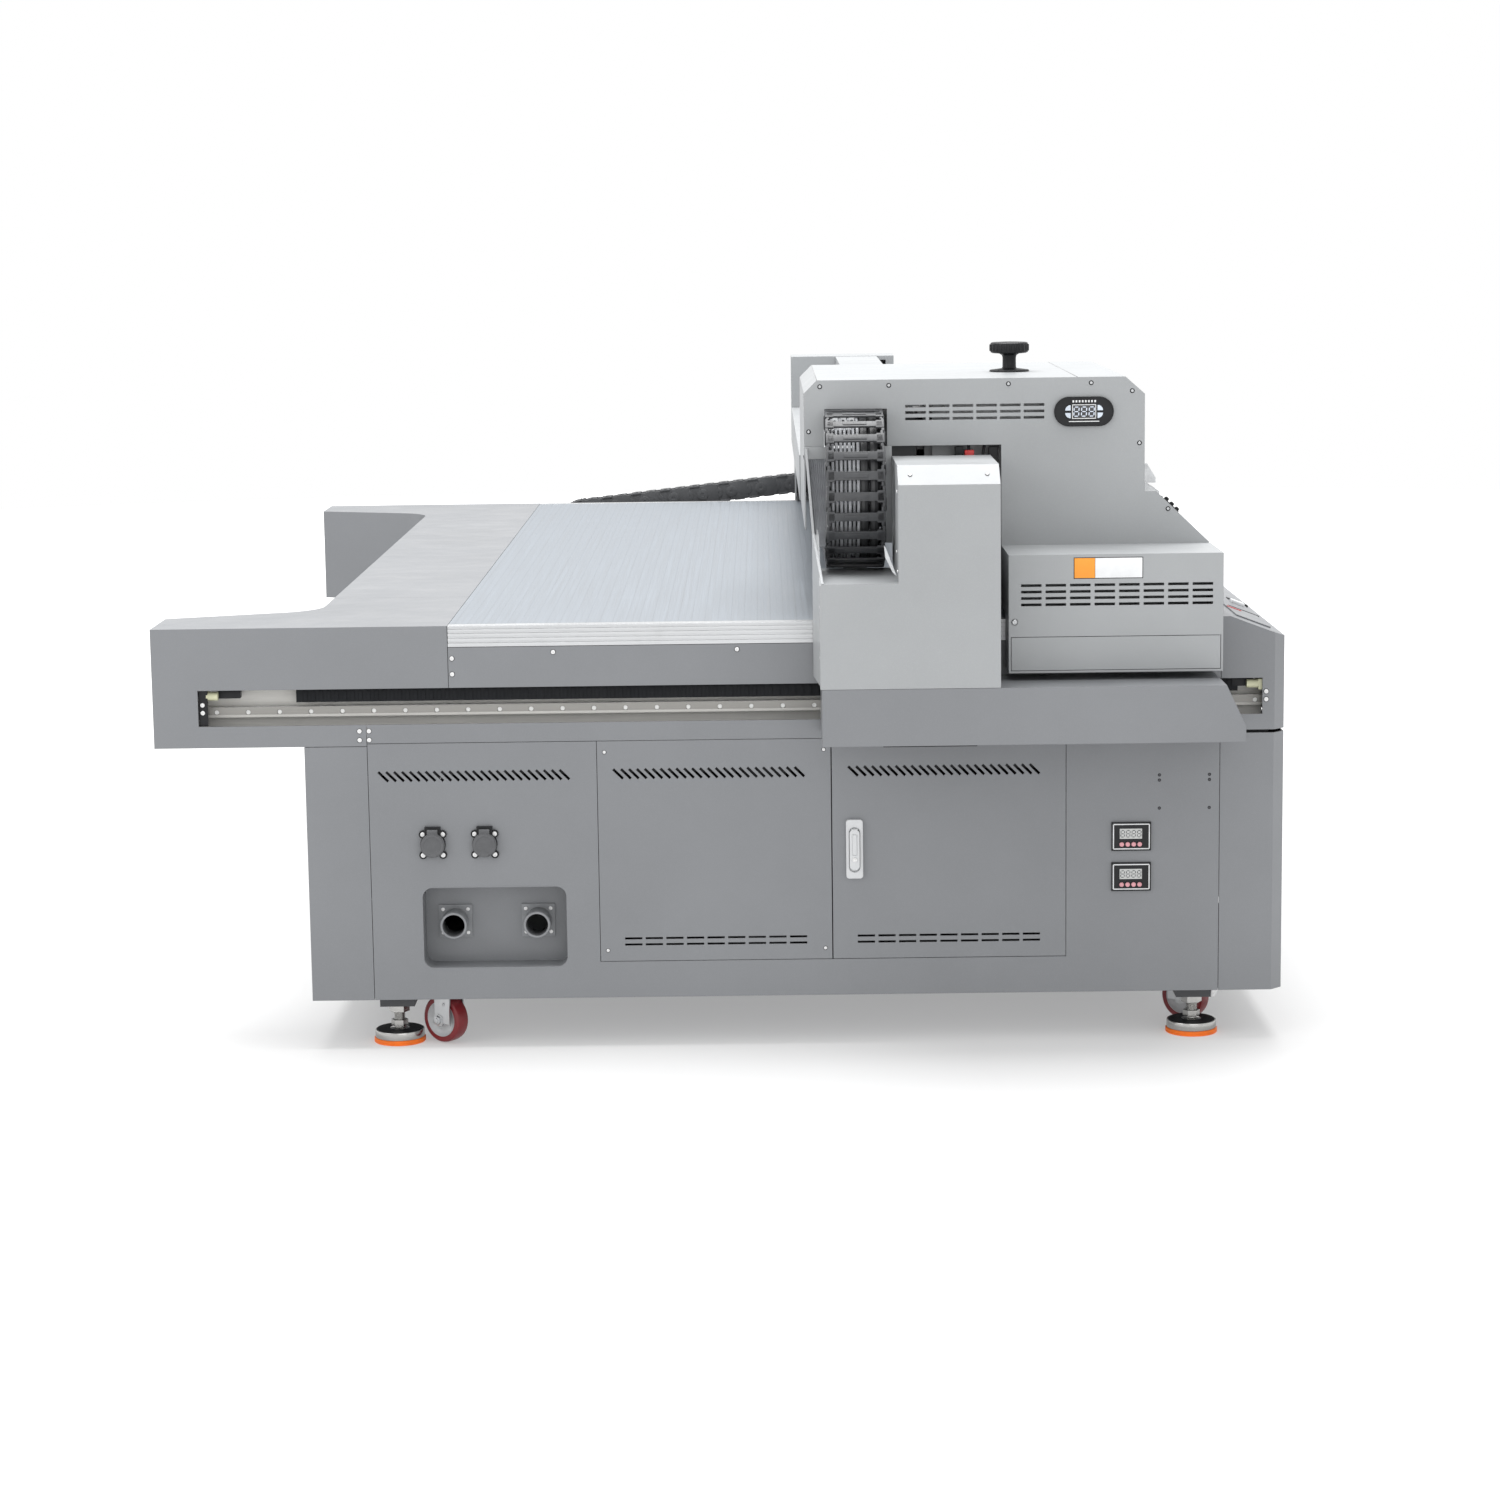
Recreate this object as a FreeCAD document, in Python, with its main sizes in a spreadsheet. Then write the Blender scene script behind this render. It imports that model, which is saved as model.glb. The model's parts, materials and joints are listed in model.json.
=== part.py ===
import FreeCAD, Part
import Sketcher
import math
import os

# Flatbed UV printer.  The frame stands on the floor at z = 0.  X runs along the travel of the
# gantry, from the loading end (-X) to the parking end (+X).  Y runs across the machine, from the
# near side (-Y) to the far side (+Y).  The origin is the bottom centre of the machine's box.
# Every place in the sheet is counted from the loading end (along X), from the near side of the
# body (along Y) and from the floor (along Z); across() and along() move them to the origin.

V = FreeCAD.Vector

DIMENSIONS = {
    # body of the machine
    "body_long": 2148, "body_deep": 2767, "bed_top": 820, "sheet": 3, "gap": 1,
    "cover_low": 592, "seam_high": 597, "cabinet_low": 98, "door_low": 168,
    "leg_left": 285, "leg_right": 405, "column_left": 2025, "corner_bevel": 22,
    "door_seam_left": 840, "door_seam_mid": 1286, "door_seam_right": 1733,
    # fork-shaped cover at the loading end
    "arm_deep": 174, "arm_root": 284, "arm_long": 287, "arm_round": 110, "arm_joint": 500,
    "bed_left": 563, "edge_high": 40, "edge_deep": 29, "groove_deep": 3, "groove_high": 4,
    "rib_pitch": 162, "rib_wide": 8, "bed_plate": 12,
    # window in the side covers and the guide behind it
    "window_low": 633, "window_high": 702, "window_left": 86, "window_right": 2104,
    "beam_front": 52, "beam_deep": 60, "beam_low": 600, "beam_high": 700, "tube_wall": 6,
    "rail_left": 90, "rail_right": 2118, "rail_wide": 20, "rail_tall": 17.5, "rail_mid": 655,
    "bolt_first": 115.5, "bolt_pitch": 60, "bolt_count": 34, "bore_wide": 9.5, "bore_deep": 8.5,
    "head_wide": 8.5, "shank_wide": 5, "shank_bore": 6,
    "rack_left": 270, "rack_right": 2060, "rack_low": 675, "rack_front": 22,
    "buffer_left": 101, "buffer_right": 2097, "buffer_long": 22, "buffer_wide": 16,
    # sloped console along the parking end
    "console_low": 603, "console_ridge": 2043, "console_edge": 780,
    "inlay_in": 20, "inlay_thick": 2.5, "inlay_start": 70, "inlay_end": 460,
    # inner frame of square tube
    "tube_side": 80, "tube_flat": 46, "frame_low": 110, "frame_high": 600, "frame_in": 30,
    "foot_left": 443, "foot_right": 1983, "foot_in": 75, "foot_block": 67, "block_low": 75,
    "pad_wide": 100, "pad_high": 8, "disc_wide": 96, "disc_high": 29, "stud_wide": 20,
    "nut_wide": 32, "nut_high": 15,
    # casters
    "caster_left": 551, "caster_left_in": 46, "caster_right": 1968, "caster_right_in": 187,
    "wheel_wide": 92, "wheel_thick": 32, "wheel_clear": 2, "wheel_bore": 12.1, "axle_wide": 12,
    "caster_trail": 20, "fork_plate": 4, "fork_gap": 36, "fork_top": 104, "swivel_wide": 56,
    # duct recess, sockets, meters and the door's handle
    "recess_left": 502, "recess_right": 777, "recess_low": 160, "recess_high": 316,
    "recess_deep": 60, "recess_round": 19, "duct_wide": 50, "duct_bore": 43, "duct_low": 240,
    "duct_left": 559, "duct_right": 719, "duct_reach": 52, "duct_flange": 64,
    "socket_left": 525, "socket_right": 624, "socket_mid": 401, "socket_wide": 52,
    "socket_high": 69, "socket_thick": 8, "lid_high": 46, "lid_thick": 9,
    "meter_left": 1819, "meter_right": 1894, "meter_up": 373, "meter_down": 295,
    "meter_high": 55, "meter_proud": 5, "meter_body": 45, "key_wide": 8.6, "key_pitch": 11.4,
    "handle_left": 1313, "handle_right": 1345, "handle_low": 326, "handle_high": 440,
    "handle_proud": 8, "lever_wide": 19,
    # vents
    "louvre_wide": 5, "louvre_long": 26, "louvre_pitch": 15, "louvre_mid": 531,
    "dash_long": 33, "dash_high": 4, "dash_pitch": 39.5, "dash_up": 213, "dash_down": 201,
    "vent_high": 5, "vent_rise": 12,
    # gantry: side housing, skirt and cabinet
    "gantry_left": 1267, "gantry_right": 2016, "gantry_out": 190, "skirt_high": 715,
    "skirt_low": 609, "skirt_end": 2047, "skirt_corner": 2011, "skirt_break": 639,
    "side_clear": 6, "tower_left": 1409, "tower_right": 1596, "tower_high": 1123,
    "tower_bevel_in": 50, "tower_bevel_down": 33, "tower_in": 60, "tower_meet": 99.5, "shelf_high": 910,
    "over_bed": 835, "cheek_thick": 3,
    "box_left": 1617, "box_out": 95, "box_low": 729, "box_high": 950, "flap_high": 797,
    # gantry: end cap over the parked carriage
    "cap_front": 100, "cap_back": 770, "cap_left": 1242, "cap_right": 1890, "cap_high": 1268,
    "cap_bevel": 25, "cap_left_low": 985, "cap_edge": 1142, "cap_shoulder": 1235,
    "cap_slope_start": 1853, "cap_step": 1050, "cap_step_right": 1912, "cap_wing": 2014,
    "cap_wing_high": 952, "cap_wing_low": 838, "notch_left": 1280, "notch_right": 1400,
    "notch_high": 1213, "gate_right": 1617,
    "display_mid": 1774, "display_high": 1203, "display_wide": 113, "display_tall": 56,
    "knob_mid": 1652, "knob_in": 370, "knob_wide": 75, "knob_low": 1305, "knob_high": 1326,
    "knob_shaft": 26, "knob_bore": 26.1,
    # gantry: beam, its covers and the carriage
    "beam_left": 1362, "beam_right": 1457, "portal_low": 1000, "portal_high": 1195,
    "leg_in": 10, "leg_out": 120, "foot_high": 1100, "portal_left": 1420, "portal_right": 1590,
    "roof_left": 1356, "roof_right": 1463, "roof_high": 1211, "ledge_left": 1240,
    "ledge_high": 1080, "far_box_right": 1508, "far_box_in": 2560, "far_box_out": 2710,
    "guide_thick": 15, "guide_wide": 20, "guide_low": 1030, "guide_high": 1140,
    "carriage_left": 1474, "carriage_plate": 14, "carriage_right": 1868, "carriage_in": 150,
    "carriage_out": 700, "carriage_low": 960, "carriage_high": 1225,
    "head_low": 826, "lamp_low": 830, "lamp_high": 1000, "lamp_deep": 70,
    # cable chains
    "chain_left": 1281, "chain_right": 1392, "chain_low": 912, "chain_high": 1212,
    "chain_thick": 45, "chain_mid": 95, "chain_inside": 127, "chain_tail": 700,
    "drag_in": 2888, "drag_out": 2948, "drag_bend": 690, "drag_low": 545, "drag_thick": 52,
    "drag_start": 1240, "drag_end": 1300, "drag_top": 880, "drag_dip": 820, "drag_fixed": 1075,
}

doc = FreeCAD.newDocument("FlatbedPrinter")
sheet = doc.addObject("Spreadsheet::Sheet", "Dims")
for row, (alias, number) in enumerate(DIMENSIONS.items(), start=1):
    sheet.set(f"A{row}", alias)
    sheet.set(f"B{row}", str(number))
    sheet.setAlias(f"B{row}", alias)
doc.recompute()


class Size:
    """A length: its number now, and the sheet formula that gives it."""

    def __init__(self, value, text):
        self.value = float(value)
        self.text = text

    @staticmethod
    def of(other):
        return other if isinstance(other, Size) else Size(other, f"({float(other)})")

    def __add__(self, other):
        other = Size.of(other)
        return Size(self.value + other.value, f"({self.text} + {other.text})")

    def __sub__(self, other):
        other = Size.of(other)
        return Size(self.value - other.value, f"({self.text} - {other.text})")

    def __rsub__(self, other):
        return Size.of(other) - self

    def __mul__(self, factor):
        return Size(self.value * factor, f"({self.text} * {float(factor)})")

    def __truediv__(self, factor):
        return Size(self.value / factor, f"({self.text} / {float(factor)})")

    __radd__ = __add__
    __rmul__ = __mul__


class Book:
    """The sheet's cells by alias, as Sizes."""

    def __getattr__(self, alias):
        return Size(DIMENSIONS[alias], f"Dims.{alias}")


D = Book()
NODES = []


def along(place):
    """X in the machine's frame of a place counted from the loading end."""
    return Size.of(place) - D.body_long / 2


def across(place):
    """Y in the machine's frame of a place counted from the near side of the body."""
    return Size.of(place) - D.body_deep / 2


def put(obj, x, y, z):
    for axis, size in zip("xyz", (along(x), across(y), Size.of(z))):
        obj.setExpression("Placement.Base." + axis, size.text)


def block(x, y, z):
    """A box between two places on each axis."""
    obj = doc.addObject("Part::Box", "Block")
    for side, (low, high) in zip(("Length", "Width", "Height"), (x, y, z)):
        obj.setExpression(side, (Size.of(high) - low).text)
    put(obj, x[0], y[0], z[0])
    return obj


TURNS = {
    "X": FreeCAD.Rotation(V(0, 1, 0), 90),
    "Y": FreeCAD.Rotation(V(1, 0, 0), -90),
    "Z": FreeCAD.Rotation(),
}


def rod(axis, x, y, z, wide, length):
    """A round bar from the centre of its first end, along +axis."""
    obj = doc.addObject("Part::Cylinder", "Rod")
    obj.Placement = FreeCAD.Placement(V(), TURNS[axis])
    obj.setExpression("Radius", (Size.of(wide) / 2).text)
    obj.setExpression("Height", Size.of(length).text)
    put(obj, x, y, z)
    return obj


def fuse(*parts):
    obj = doc.addObject("Part::MultiFuse", "Fuse")
    obj.Shapes = list(parts)
    obj.Refine = True
    return obj


def cut(base, *tools):
    obj = doc.addObject("Part::Cut", "Cut")
    obj.Base = base
    obj.Tool = tools[0] if len(tools) == 1 else group(*tools)
    return obj


def group(*parts):
    obj = doc.addObject("Part::Compound", "Group")
    obj.Links = list(parts)
    return obj


def mirror(source):
    """The same piece on the far side of the machine."""
    obj = doc.addObject("Part::Mirroring", "Mirror")
    obj.Source = source
    obj.Normal = V(0, 1, 0)
    return obj


def node(label, obj):
    obj.Label = label
    NODES.append(obj)
    return obj


def plane_of(body, role):
    return next(part for part in body.Origin.OriginFeatures if part.Role == role)


def smallest(sizes):
    return min(sizes, key=lambda size: size.value)


def outline(body, role, points):
    """A closed sketch of straight lines whose corners are bound to the sheet."""
    sketch = body.newObject("Sketcher::SketchObject", "Outline")
    sketch.AttachmentSupport = (plane_of(body, role), [""])
    sketch.MapMode = "FlatFace"
    corners = [V(u.value, v.value, 0) for u, v in points]
    for number, corner in enumerate(corners):
        sketch.addGeometry(Part.LineSegment(corner, corners[(number + 1) % len(corners)]), False)
    for number in range(len(corners)):
        sketch.addConstraint(
            Sketcher.Constraint("Coincident", number, 2, (number + 1) % len(corners), 1)
        )
    for number, pair in enumerate(points):
        for kind, size, axis in zip(("DistanceX", "DistanceY"), pair, (-2, -1)):
            if size.value == 0:
                sketch.addConstraint(Sketcher.Constraint("PointOnObject", number, 1, axis))
                continue
            index = sketch.addConstraint(
                Sketcher.Constraint(kind, -1, 1, number, 1, size.value)
            )
            sketch.setExpression(f"Constraints[{index}]", size.text)
    return sketch


def prism(role, points, start, end):
    """A pad of an outline.  role is the plane of the outline; start and end are on its normal."""
    pairs = [(Size.of(u), Size.of(v)) for u, v in points]
    left = smallest([u for u, _ in pairs])
    low = smallest([v for _, v in pairs])
    body = doc.addObject("PartDesign::Body", "Body")
    local = [(u - left, v - low) for u, v in pairs]
    sketch = outline(body, role, local)
    pad = body.newObject("PartDesign::Pad", "Pad")
    pad.Profile = sketch
    pad.setExpression("Length", (Size.of(end) - start).text)
    sketch.Visibility = False
    if role == "XZ_Plane":
        put(body, left, end, low)
    elif role == "YZ_Plane":
        put(body, start, left, low)
    else:
        put(body, left, low, start)
    return body


def rounded(body, radius, chosen):
    """Rounds the edges of a padded body whose middle, in the body's own frame, is chosen."""
    doc.recompute()
    pad = body.Tip
    names = [
        f"Edge{number}" for number, edge in enumerate(pad.Shape.Edges, start=1)
        if chosen((edge.Vertexes[0].Point + edge.Vertexes[-1].Point) * 0.5)
    ]
    fillet = body.newObject("PartDesign::Fillet", "Round")
    fillet.Base = (pad, names)
    fillet.setExpression("Radius", Size.of(radius).text)
    body.Tip = fillet
    return body


def row_of_slots(left, mid, count, pitch, long, high, out, deep):
    """Level slots in a sheet that faces -Y, from out to out + deep."""
    return [
        block((left + step * pitch, left + step * pitch + long),
              (out, out + deep), (mid - high / 2, mid + high / 2))
        for step in range(count)
    ]


def louvres(left, count):
    """Slanted slots through a side panel of the cabinet."""
    slots = []
    for step in range(count):
        slot = doc.addObject("Part::Box", "Louvre")
        slot.setExpression("Length", D.louvre_wide.text)
        slot.setExpression("Width", (D.sheet + 2).text)
        slot.setExpression("Height", D.louvre_long.text)
        slot.Placement = FreeCAD.Placement(V(), FreeCAD.Rotation(V(0, 1, 0), -45))
        drop = D.louvre_long * (math.sqrt(0.5) / 2)
        put(slot, left + D.louvre_pitch * step, -1, D.louvre_mid - drop)
        slots.append(slot)
    return slots


def dashes(left):
    """The two rows of short slots near the foot of a door."""
    rows = []
    for mid in (D.dash_up, D.dash_down):
        rows += row_of_slots(left, mid, 9, D.dash_pitch, D.dash_long, D.dash_high, -1, D.sheet + 2)
    return rows


def pan(x, z):
    """A sheet door with a folded edge all round."""
    fold = 20
    skin = block(x, (0, D.sheet), z)
    ring = cut(
        block(x, (0, fold), z),
        block((x[0] + 2, x[1] - 2), (-1, fold + 1), (z[0] + 2, z[1] - 2)),
    )
    return fuse(skin, ring)


# ---------------------------------------------------------------- cabinet

def base_frame():
    """Bars of square section, each a solid of its own, welded end to end."""
    near = (D.frame_in, D.frame_in + D.tube_side)
    far = (D.body_deep - D.frame_in - D.tube_side, D.body_deep - D.frame_in)
    between = (near[1], far[0])
    low = (D.frame_low, D.frame_low + D.tube_flat)
    top = (D.frame_high - 70, D.frame_high)
    posts = (300, 1120, 2040)
    parts = []
    for side in (near, far):
        for left in posts:
            parts.append(block((left, left + D.tube_side), side, (D.frame_low, D.frame_high)))
        for left, right in zip(posts, posts[1:]):
            for level in (low, top):
                parts.append(block((left + D.tube_side, right), side, level))
    for left, level in ((300, top), (2040, top), (510, low), (1928, low)):
        parts.append(block((left, left + D.tube_side), between, level))
    for left in (640, 1030, 1420, 1880):
        across_bed = (left, left + 60)
        parts.append(block(across_bed, between, top))
        parts.append(block(across_bed, (near[1] + 20, far[0] - 20),
                           (719, D.bed_top - D.edge_high)))
        for start in (near[1] + 20, D.body_deep / 2 - 30, far[0] - 80):
            parts.append(block(across_bed, (start, start + 60), (D.frame_high, 719)))
    half = D.foot_block / 2
    for mid in (D.foot_left, D.foot_right):
        for deep in (D.foot_in, D.body_deep - D.foot_in):
            parts.append(block((mid - half, mid + half), (deep - half, deep + half),
                               (D.block_low, D.frame_low)))
    for mid, inset in ((D.caster_left, D.caster_left_in), (D.caster_right, D.caster_right_in)):
        for deep in (inset, D.body_deep - inset):
            parts.append(block((mid - 38, mid + 38), (deep - 38, deep + 38),
                               (D.fork_top, D.frame_low)))
    return group(*parts)


def base_pan():
    plate = block((D.leg_left + 5, D.body_long - 14), (14, D.body_deep - 14),
                  (D.cabinet_low, D.cabinet_low + D.sheet))
    holes = []
    half = D.foot_block / 2 + 1
    for mid in (D.foot_left, D.foot_right):
        for deep in (D.foot_in, D.body_deep - D.foot_in):
            holes.append(block((mid - half, mid + half), (deep - half, deep + half), (90, 105)))
    for mid, inset in ((D.caster_left, D.caster_left_in), (D.caster_right, D.caster_right_in)):
        for deep in (inset, D.body_deep - inset):
            holes.append(block((mid - 39, mid + 39), (deep - 39, deep + 39), (90, 105)))
    return cut(plate, *holes)


def left_end_cover():
    far = D.body_deep
    return prism("XY_Plane", [
        (D.leg_left, 0), (D.leg_right - D.gap, 0), (D.leg_right - D.gap, D.sheet),
        (D.leg_left + D.sheet, D.sheet), (D.leg_left + D.sheet, far - D.sheet),
        (D.leg_right - D.gap, far - D.sheet), (D.leg_right - D.gap, far), (D.leg_left, far),
    ], D.cabinet_low, D.cover_low - D.gap)


def right_end_cover():
    far = D.body_deep
    end = D.body_long
    bevel = D.corner_bevel
    inner = D.corner_bevel + D.sheet * 0.41
    return prism("XY_Plane", [
        (D.column_left, 0), (end - bevel, 0), (end, bevel), (end, far - bevel),
        (end - bevel, far), (D.column_left, far), (D.column_left, far - D.sheet),
        (end - inner, far - D.sheet), (end - D.sheet, far - inner), (end - D.sheet, inner),
        (end - inner, D.sheet), (D.column_left, D.sheet),
    ], D.cabinet_low, D.seam_high)


def near_side_panel():
    skin = block((D.leg_right, D.column_left - D.gap), (0, D.sheet),
                 (D.cabinet_low, D.seam_high - D.gap))
    thick = D.sheet
    well = rounded(
        prism("XZ_Plane", [
            (D.recess_left - thick, D.recess_low - thick),
            (D.recess_right + thick, D.recess_low - thick),
            (D.recess_right + thick, D.recess_high + thick),
            (D.recess_left - thick, D.recess_high + thick),
        ], 0, D.recess_deep + thick),
        D.recess_round + thick, lambda mid: abs(mid.y + (DIMENSIONS["recess_deep"] + 3) / 2) < 1)
    hollow = rounded(
        prism("XZ_Plane", [
            (D.recess_left, D.recess_low), (D.recess_right, D.recess_low),
            (D.recess_right, D.recess_high), (D.recess_left, D.recess_high),
        ], -1, D.recess_deep),
        D.recess_round, lambda mid: abs(mid.y + (DIMENSIONS["recess_deep"] + 1) / 2) < 1)
    doorway = block((D.door_seam_left, D.door_seam_right), (-1, 10),
                    (D.door_low, D.seam_high + 1))
    slots = louvres(Size.of(441), 24)
    wells = []
    for low in (D.meter_up, D.meter_down):
        wells.append(block((D.meter_left + 4, D.meter_right - 4), (-1, 10),
                           (low + 4, low + D.meter_high - 4)))
    for mid in (D.socket_left, D.socket_right):
        wells.append(rod("Y", mid, -1, D.socket_mid, 38, 10))
    bores = [
        rod("Y", mid, D.recess_deep - 1, D.duct_low, D.duct_bore, thick + 2)
        for mid in (D.duct_left, D.duct_right)
    ]
    for x in (1910, 2005):
        for z in (508, 518, 454):
            wells.append(rod("Y", x, -1, z, 4, 10))
    tray = cut(well, hollow, *bores)
    return group(cut(skin, well, doorway, *slots, *wells), tray)


def near_access_panel():
    plate = pan((D.door_seam_left + D.gap, D.door_seam_mid - D.gap),
                (D.door_low + D.gap, D.seam_high - D.gap))
    return cut(plate, *louvres(Size.of(888), 24), *dashes(Size.of(888)))


def near_door():
    plate = pan((D.door_seam_mid + D.gap, D.door_seam_right - D.gap),
                (D.door_low + D.gap, D.seam_high - D.gap))
    return cut(plate, *louvres(Size.of(1335), 24), *dashes(Size.of(1334)))


def far_side_panel():
    """Panel with the shelf that the gantry's cable chain lies on."""
    shelf = (D.drag_low - D.gap - D.sheet, D.drag_low - D.gap)
    reach = (D.body_deep - D.sheet, D.drag_out + 6)
    return fuse(
        block((D.leg_right, D.column_left - D.gap), (D.body_deep - D.sheet, D.body_deep),
              (D.cabinet_low, D.seam_high - D.gap)),
        block((D.leg_right, D.drag_fixed + 40), reach, shelf),
        block((D.leg_right, D.drag_fixed + 40), (D.drag_out + 3, D.drag_out + 6),
              (shelf[0], D.drag_low + 20)),
    )


def vacuum_blower():
    foot = block((600, 760), (160, 320), (D.cabinet_low + D.sheet, 190))
    casing = rod("Y", 680, 150, 275, 180, 180)
    mouth = rod("Y", 680, 110, 275, 44, 40)
    return fuse(foot, casing, mouth)


# ---------------------------------------------------------------- covers round the bed

def near_arm_cover():
    rise = (DIMENSIONS["arm_root"] - DIMENSIONS["arm_deep"]) / DIMENSIONS["arm_long"]
    drop = D.sheet * math.sqrt(1 + rise * rise)
    corner = DIMENSIONS["arm_root"]
    right = D.bed_left - D.gap
    outer = rounded(
        prism("XY_Plane", [
            (0, 0), (right, 0), (right, D.arm_joint - D.gap), (D.arm_long, D.arm_joint - D.gap),
            (D.arm_long, D.arm_root), (0, D.arm_deep),
        ], D.cover_low, D.bed_top),
        D.arm_round,
        lambda mid: abs(mid.x - DIMENSIONS["arm_long"]) < 1 and abs(mid.y - corner) < 1)
    thick = D.sheet
    shift = D.sheet * rise
    inner = rounded(
        prism("XY_Plane", [
            (thick, thick), (right + 9, thick), (right + 9, D.arm_joint + 9),
            (D.arm_long + thick, D.arm_joint + 9),
            (D.arm_long + thick, D.arm_root - drop + shift),
            (thick, D.arm_deep - drop + shift),
        ], D.cover_low + thick, D.bed_top - thick),
        D.arm_round + thick,
        lambda mid: abs(mid.x - DIMENSIONS["arm_long"]) < 1 and abs(mid.y - corner + 6) < 4)
    pit = block((D.arm_long + thick, right + 9), (thick, D.arm_joint + 9),
                (D.cover_low - 1, D.cover_low + thick + 1))
    window = block((D.window_left, right + 9), (-1, thick + 1), (D.window_low, D.window_high))
    step = block((D.leg_right - 1, right + 9), (-1, thick + 1), (D.cover_low - 1, D.window_low))
    return cut(outer, inner, pit, window, step)


def left_top_cover():
    return cut(
        block((D.arm_long, D.bed_left - D.gap), (D.arm_joint, D.body_deep - D.arm_joint),
              (D.cover_low, D.bed_top)),
        block((D.arm_long + D.sheet, D.bed_left + 9),
              (D.arm_joint - 1, D.body_deep - D.arm_joint + 1),
              (D.cover_low - 1, D.bed_top - D.sheet)),
    )


def bed_table():
    side = (D.edge_deep + D.gap, D.body_deep - D.edge_deep - D.gap)
    parts = [block((D.bed_left, D.column_left), side, (D.bed_top - D.bed_plate, D.bed_top))]
    for step in range(10):
        left = D.bed_left + D.rib_pitch * step
        parts.append(block((left, left + D.rib_wide), side,
                           (D.bed_top - D.edge_high, D.bed_top - D.bed_plate)))
    return fuse(*parts)


def bed_edge_profiles():
    length = (D.bed_left, D.column_left)
    bar = block(length, (0, D.edge_deep), (D.bed_top - D.edge_high, D.bed_top))
    grooves = [
        block((D.bed_left - 1, D.column_left + 1), (-1, D.groove_deep), (low, low + D.groove_high))
        for low in (D.bed_top - 33, D.bed_top - 24, D.bed_top - 15, D.bed_top - 7)
    ]
    near = cut(bar, *grooves)
    return group(near, mirror(near))


def bed_side_covers():
    length = (D.bed_left, D.column_left)
    upper = block(length, (0, D.sheet), (D.window_high, D.bed_top - D.edge_high - D.gap))
    lower = block((D.leg_right, D.column_left), (0, D.sheet), (D.seam_high, D.window_low))
    return group(upper, lower, mirror(upper), mirror(lower))


def console_cover():
    def wedge(inset):
        end = D.body_long + 1
        reach = D.corner_bevel + inset + 1
        return prism("XY_Plane", [(end - reach, -1), (end, -1), (end, reach - 1)], 590, 830)

    left = D.column_left + D.gap
    thick = D.sheet
    outer = prism("XZ_Plane", [
        (left, D.console_low), (D.body_long, D.console_low), (D.body_long, D.console_edge),
        (D.console_ridge, D.bed_top), (left, D.bed_top),
    ], 0, D.body_deep)
    inner = prism("XZ_Plane", [
        (left - 5, D.console_low - 5), (D.body_long - thick, D.console_low - 5),
        (D.body_long - thick, D.console_edge - 2), (D.console_ridge - 0.6, D.bed_top - thick),
        (left - 5, D.bed_top - thick),
    ], thick, D.body_deep - thick)
    sharp = wedge(0)
    blunt = wedge(1.8)
    hollow = cut(inner, blunt, mirror(blunt))
    window = block((left - 1, D.window_right), (-1, thick + 1), (D.window_low, D.window_high))
    return cut(outer, sharp, mirror(sharp), hollow, window, mirror(window))


# ---------------------------------------------------------------- guides

def rail_beams():
    near = cut(
        block((60, D.rail_right - 8), (D.beam_front, D.beam_front + D.beam_deep),
              (D.beam_low, D.beam_high)),
        block((50, D.rail_right + 9),
              (D.beam_front + D.tube_wall, D.beam_front + D.beam_deep - D.tube_wall),
              (D.beam_low + D.tube_wall, D.beam_high - D.tube_wall)),
    )
    return group(near, mirror(near))


def linear_rails():
    half = D.rail_wide / 2
    front = D.beam_front - D.rail_tall
    body = prism("XZ_Plane", [
        (D.rail_left, D.rail_mid - half), (D.rail_right, D.rail_mid - half),
        (D.rail_right, D.rail_mid + half), (D.rail_left, D.rail_mid + half),
    ], front, D.beam_front)
    doc.recompute()
    blank = body.Tip.Shape.Volume
    first = D.bolt_first - D.rail_left
    for wide, deep in ((D.bore_wide, D.bore_deep), (D.shank_bore, D.rail_tall)):
        sketch = body.newObject("Sketcher::SketchObject", "Bore")
        sketch.AttachmentSupport = (plane_of(body, "XZ_Plane"), [""])
        sketch.MapMode = "FlatFace"
        sketch.setExpression("AttachmentOffset.Base.z", D.rail_tall.text)
        sketch.addGeometry(Part.Circle(V(first.value, half.value, 0), V(0, 0, 1),
                                       wide.value / 2), False)
        for kind, size in (("DistanceX", first), ("DistanceY", half)):
            index = sketch.addConstraint(Sketcher.Constraint(kind, -1, 1, 0, 3, size.value))
            sketch.setExpression(f"Constraints[{index}]", size.text)
        index = sketch.addConstraint(Sketcher.Constraint("Diameter", 0, wide.value))
        sketch.setExpression(f"Constraints[{index}]", wide.text)
        pocket = body.newObject("PartDesign::Pocket", "Bore")
        pocket.Profile = sketch
        pocket.setExpression("Length", deep.text)
        pattern = body.newObject("PartDesign::LinearPattern", "Bores")
        pattern.Originals = [pocket]
        pattern.Direction = (plane_of(body, "X_Axis"), [""])
        pattern.setExpression("Length", (D.bolt_pitch * (DIMENSIONS["bolt_count"] - 1)).text)
        pattern.setExpression("Occurrences", D.bolt_count.text)
        body.Tip = pattern
    doc.recompute()
    if body.Tip.Shape.Volume > blank - 1000:
        raise SystemExit("the rail's bores cut nothing")
    return group(body, mirror(body))


def rail_bolts():
    """Cap screws in the rails' bores, as separate solids."""
    front = D.beam_front - D.rail_tall + 2.5
    near = []
    for step in range(DIMENSIONS["bolt_count"]):
        x = D.bolt_first + D.bolt_pitch * step
        head = rod("Y", x, front, D.rail_mid, D.head_wide, D.bore_deep - 2.5)
        shank = rod("Y", x, front, D.rail_mid, D.shank_wide, D.rail_tall - 2.5)
        near.append(fuse(head, shank))
    whole = group(*near)
    return group(whole, mirror(whole))


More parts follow.
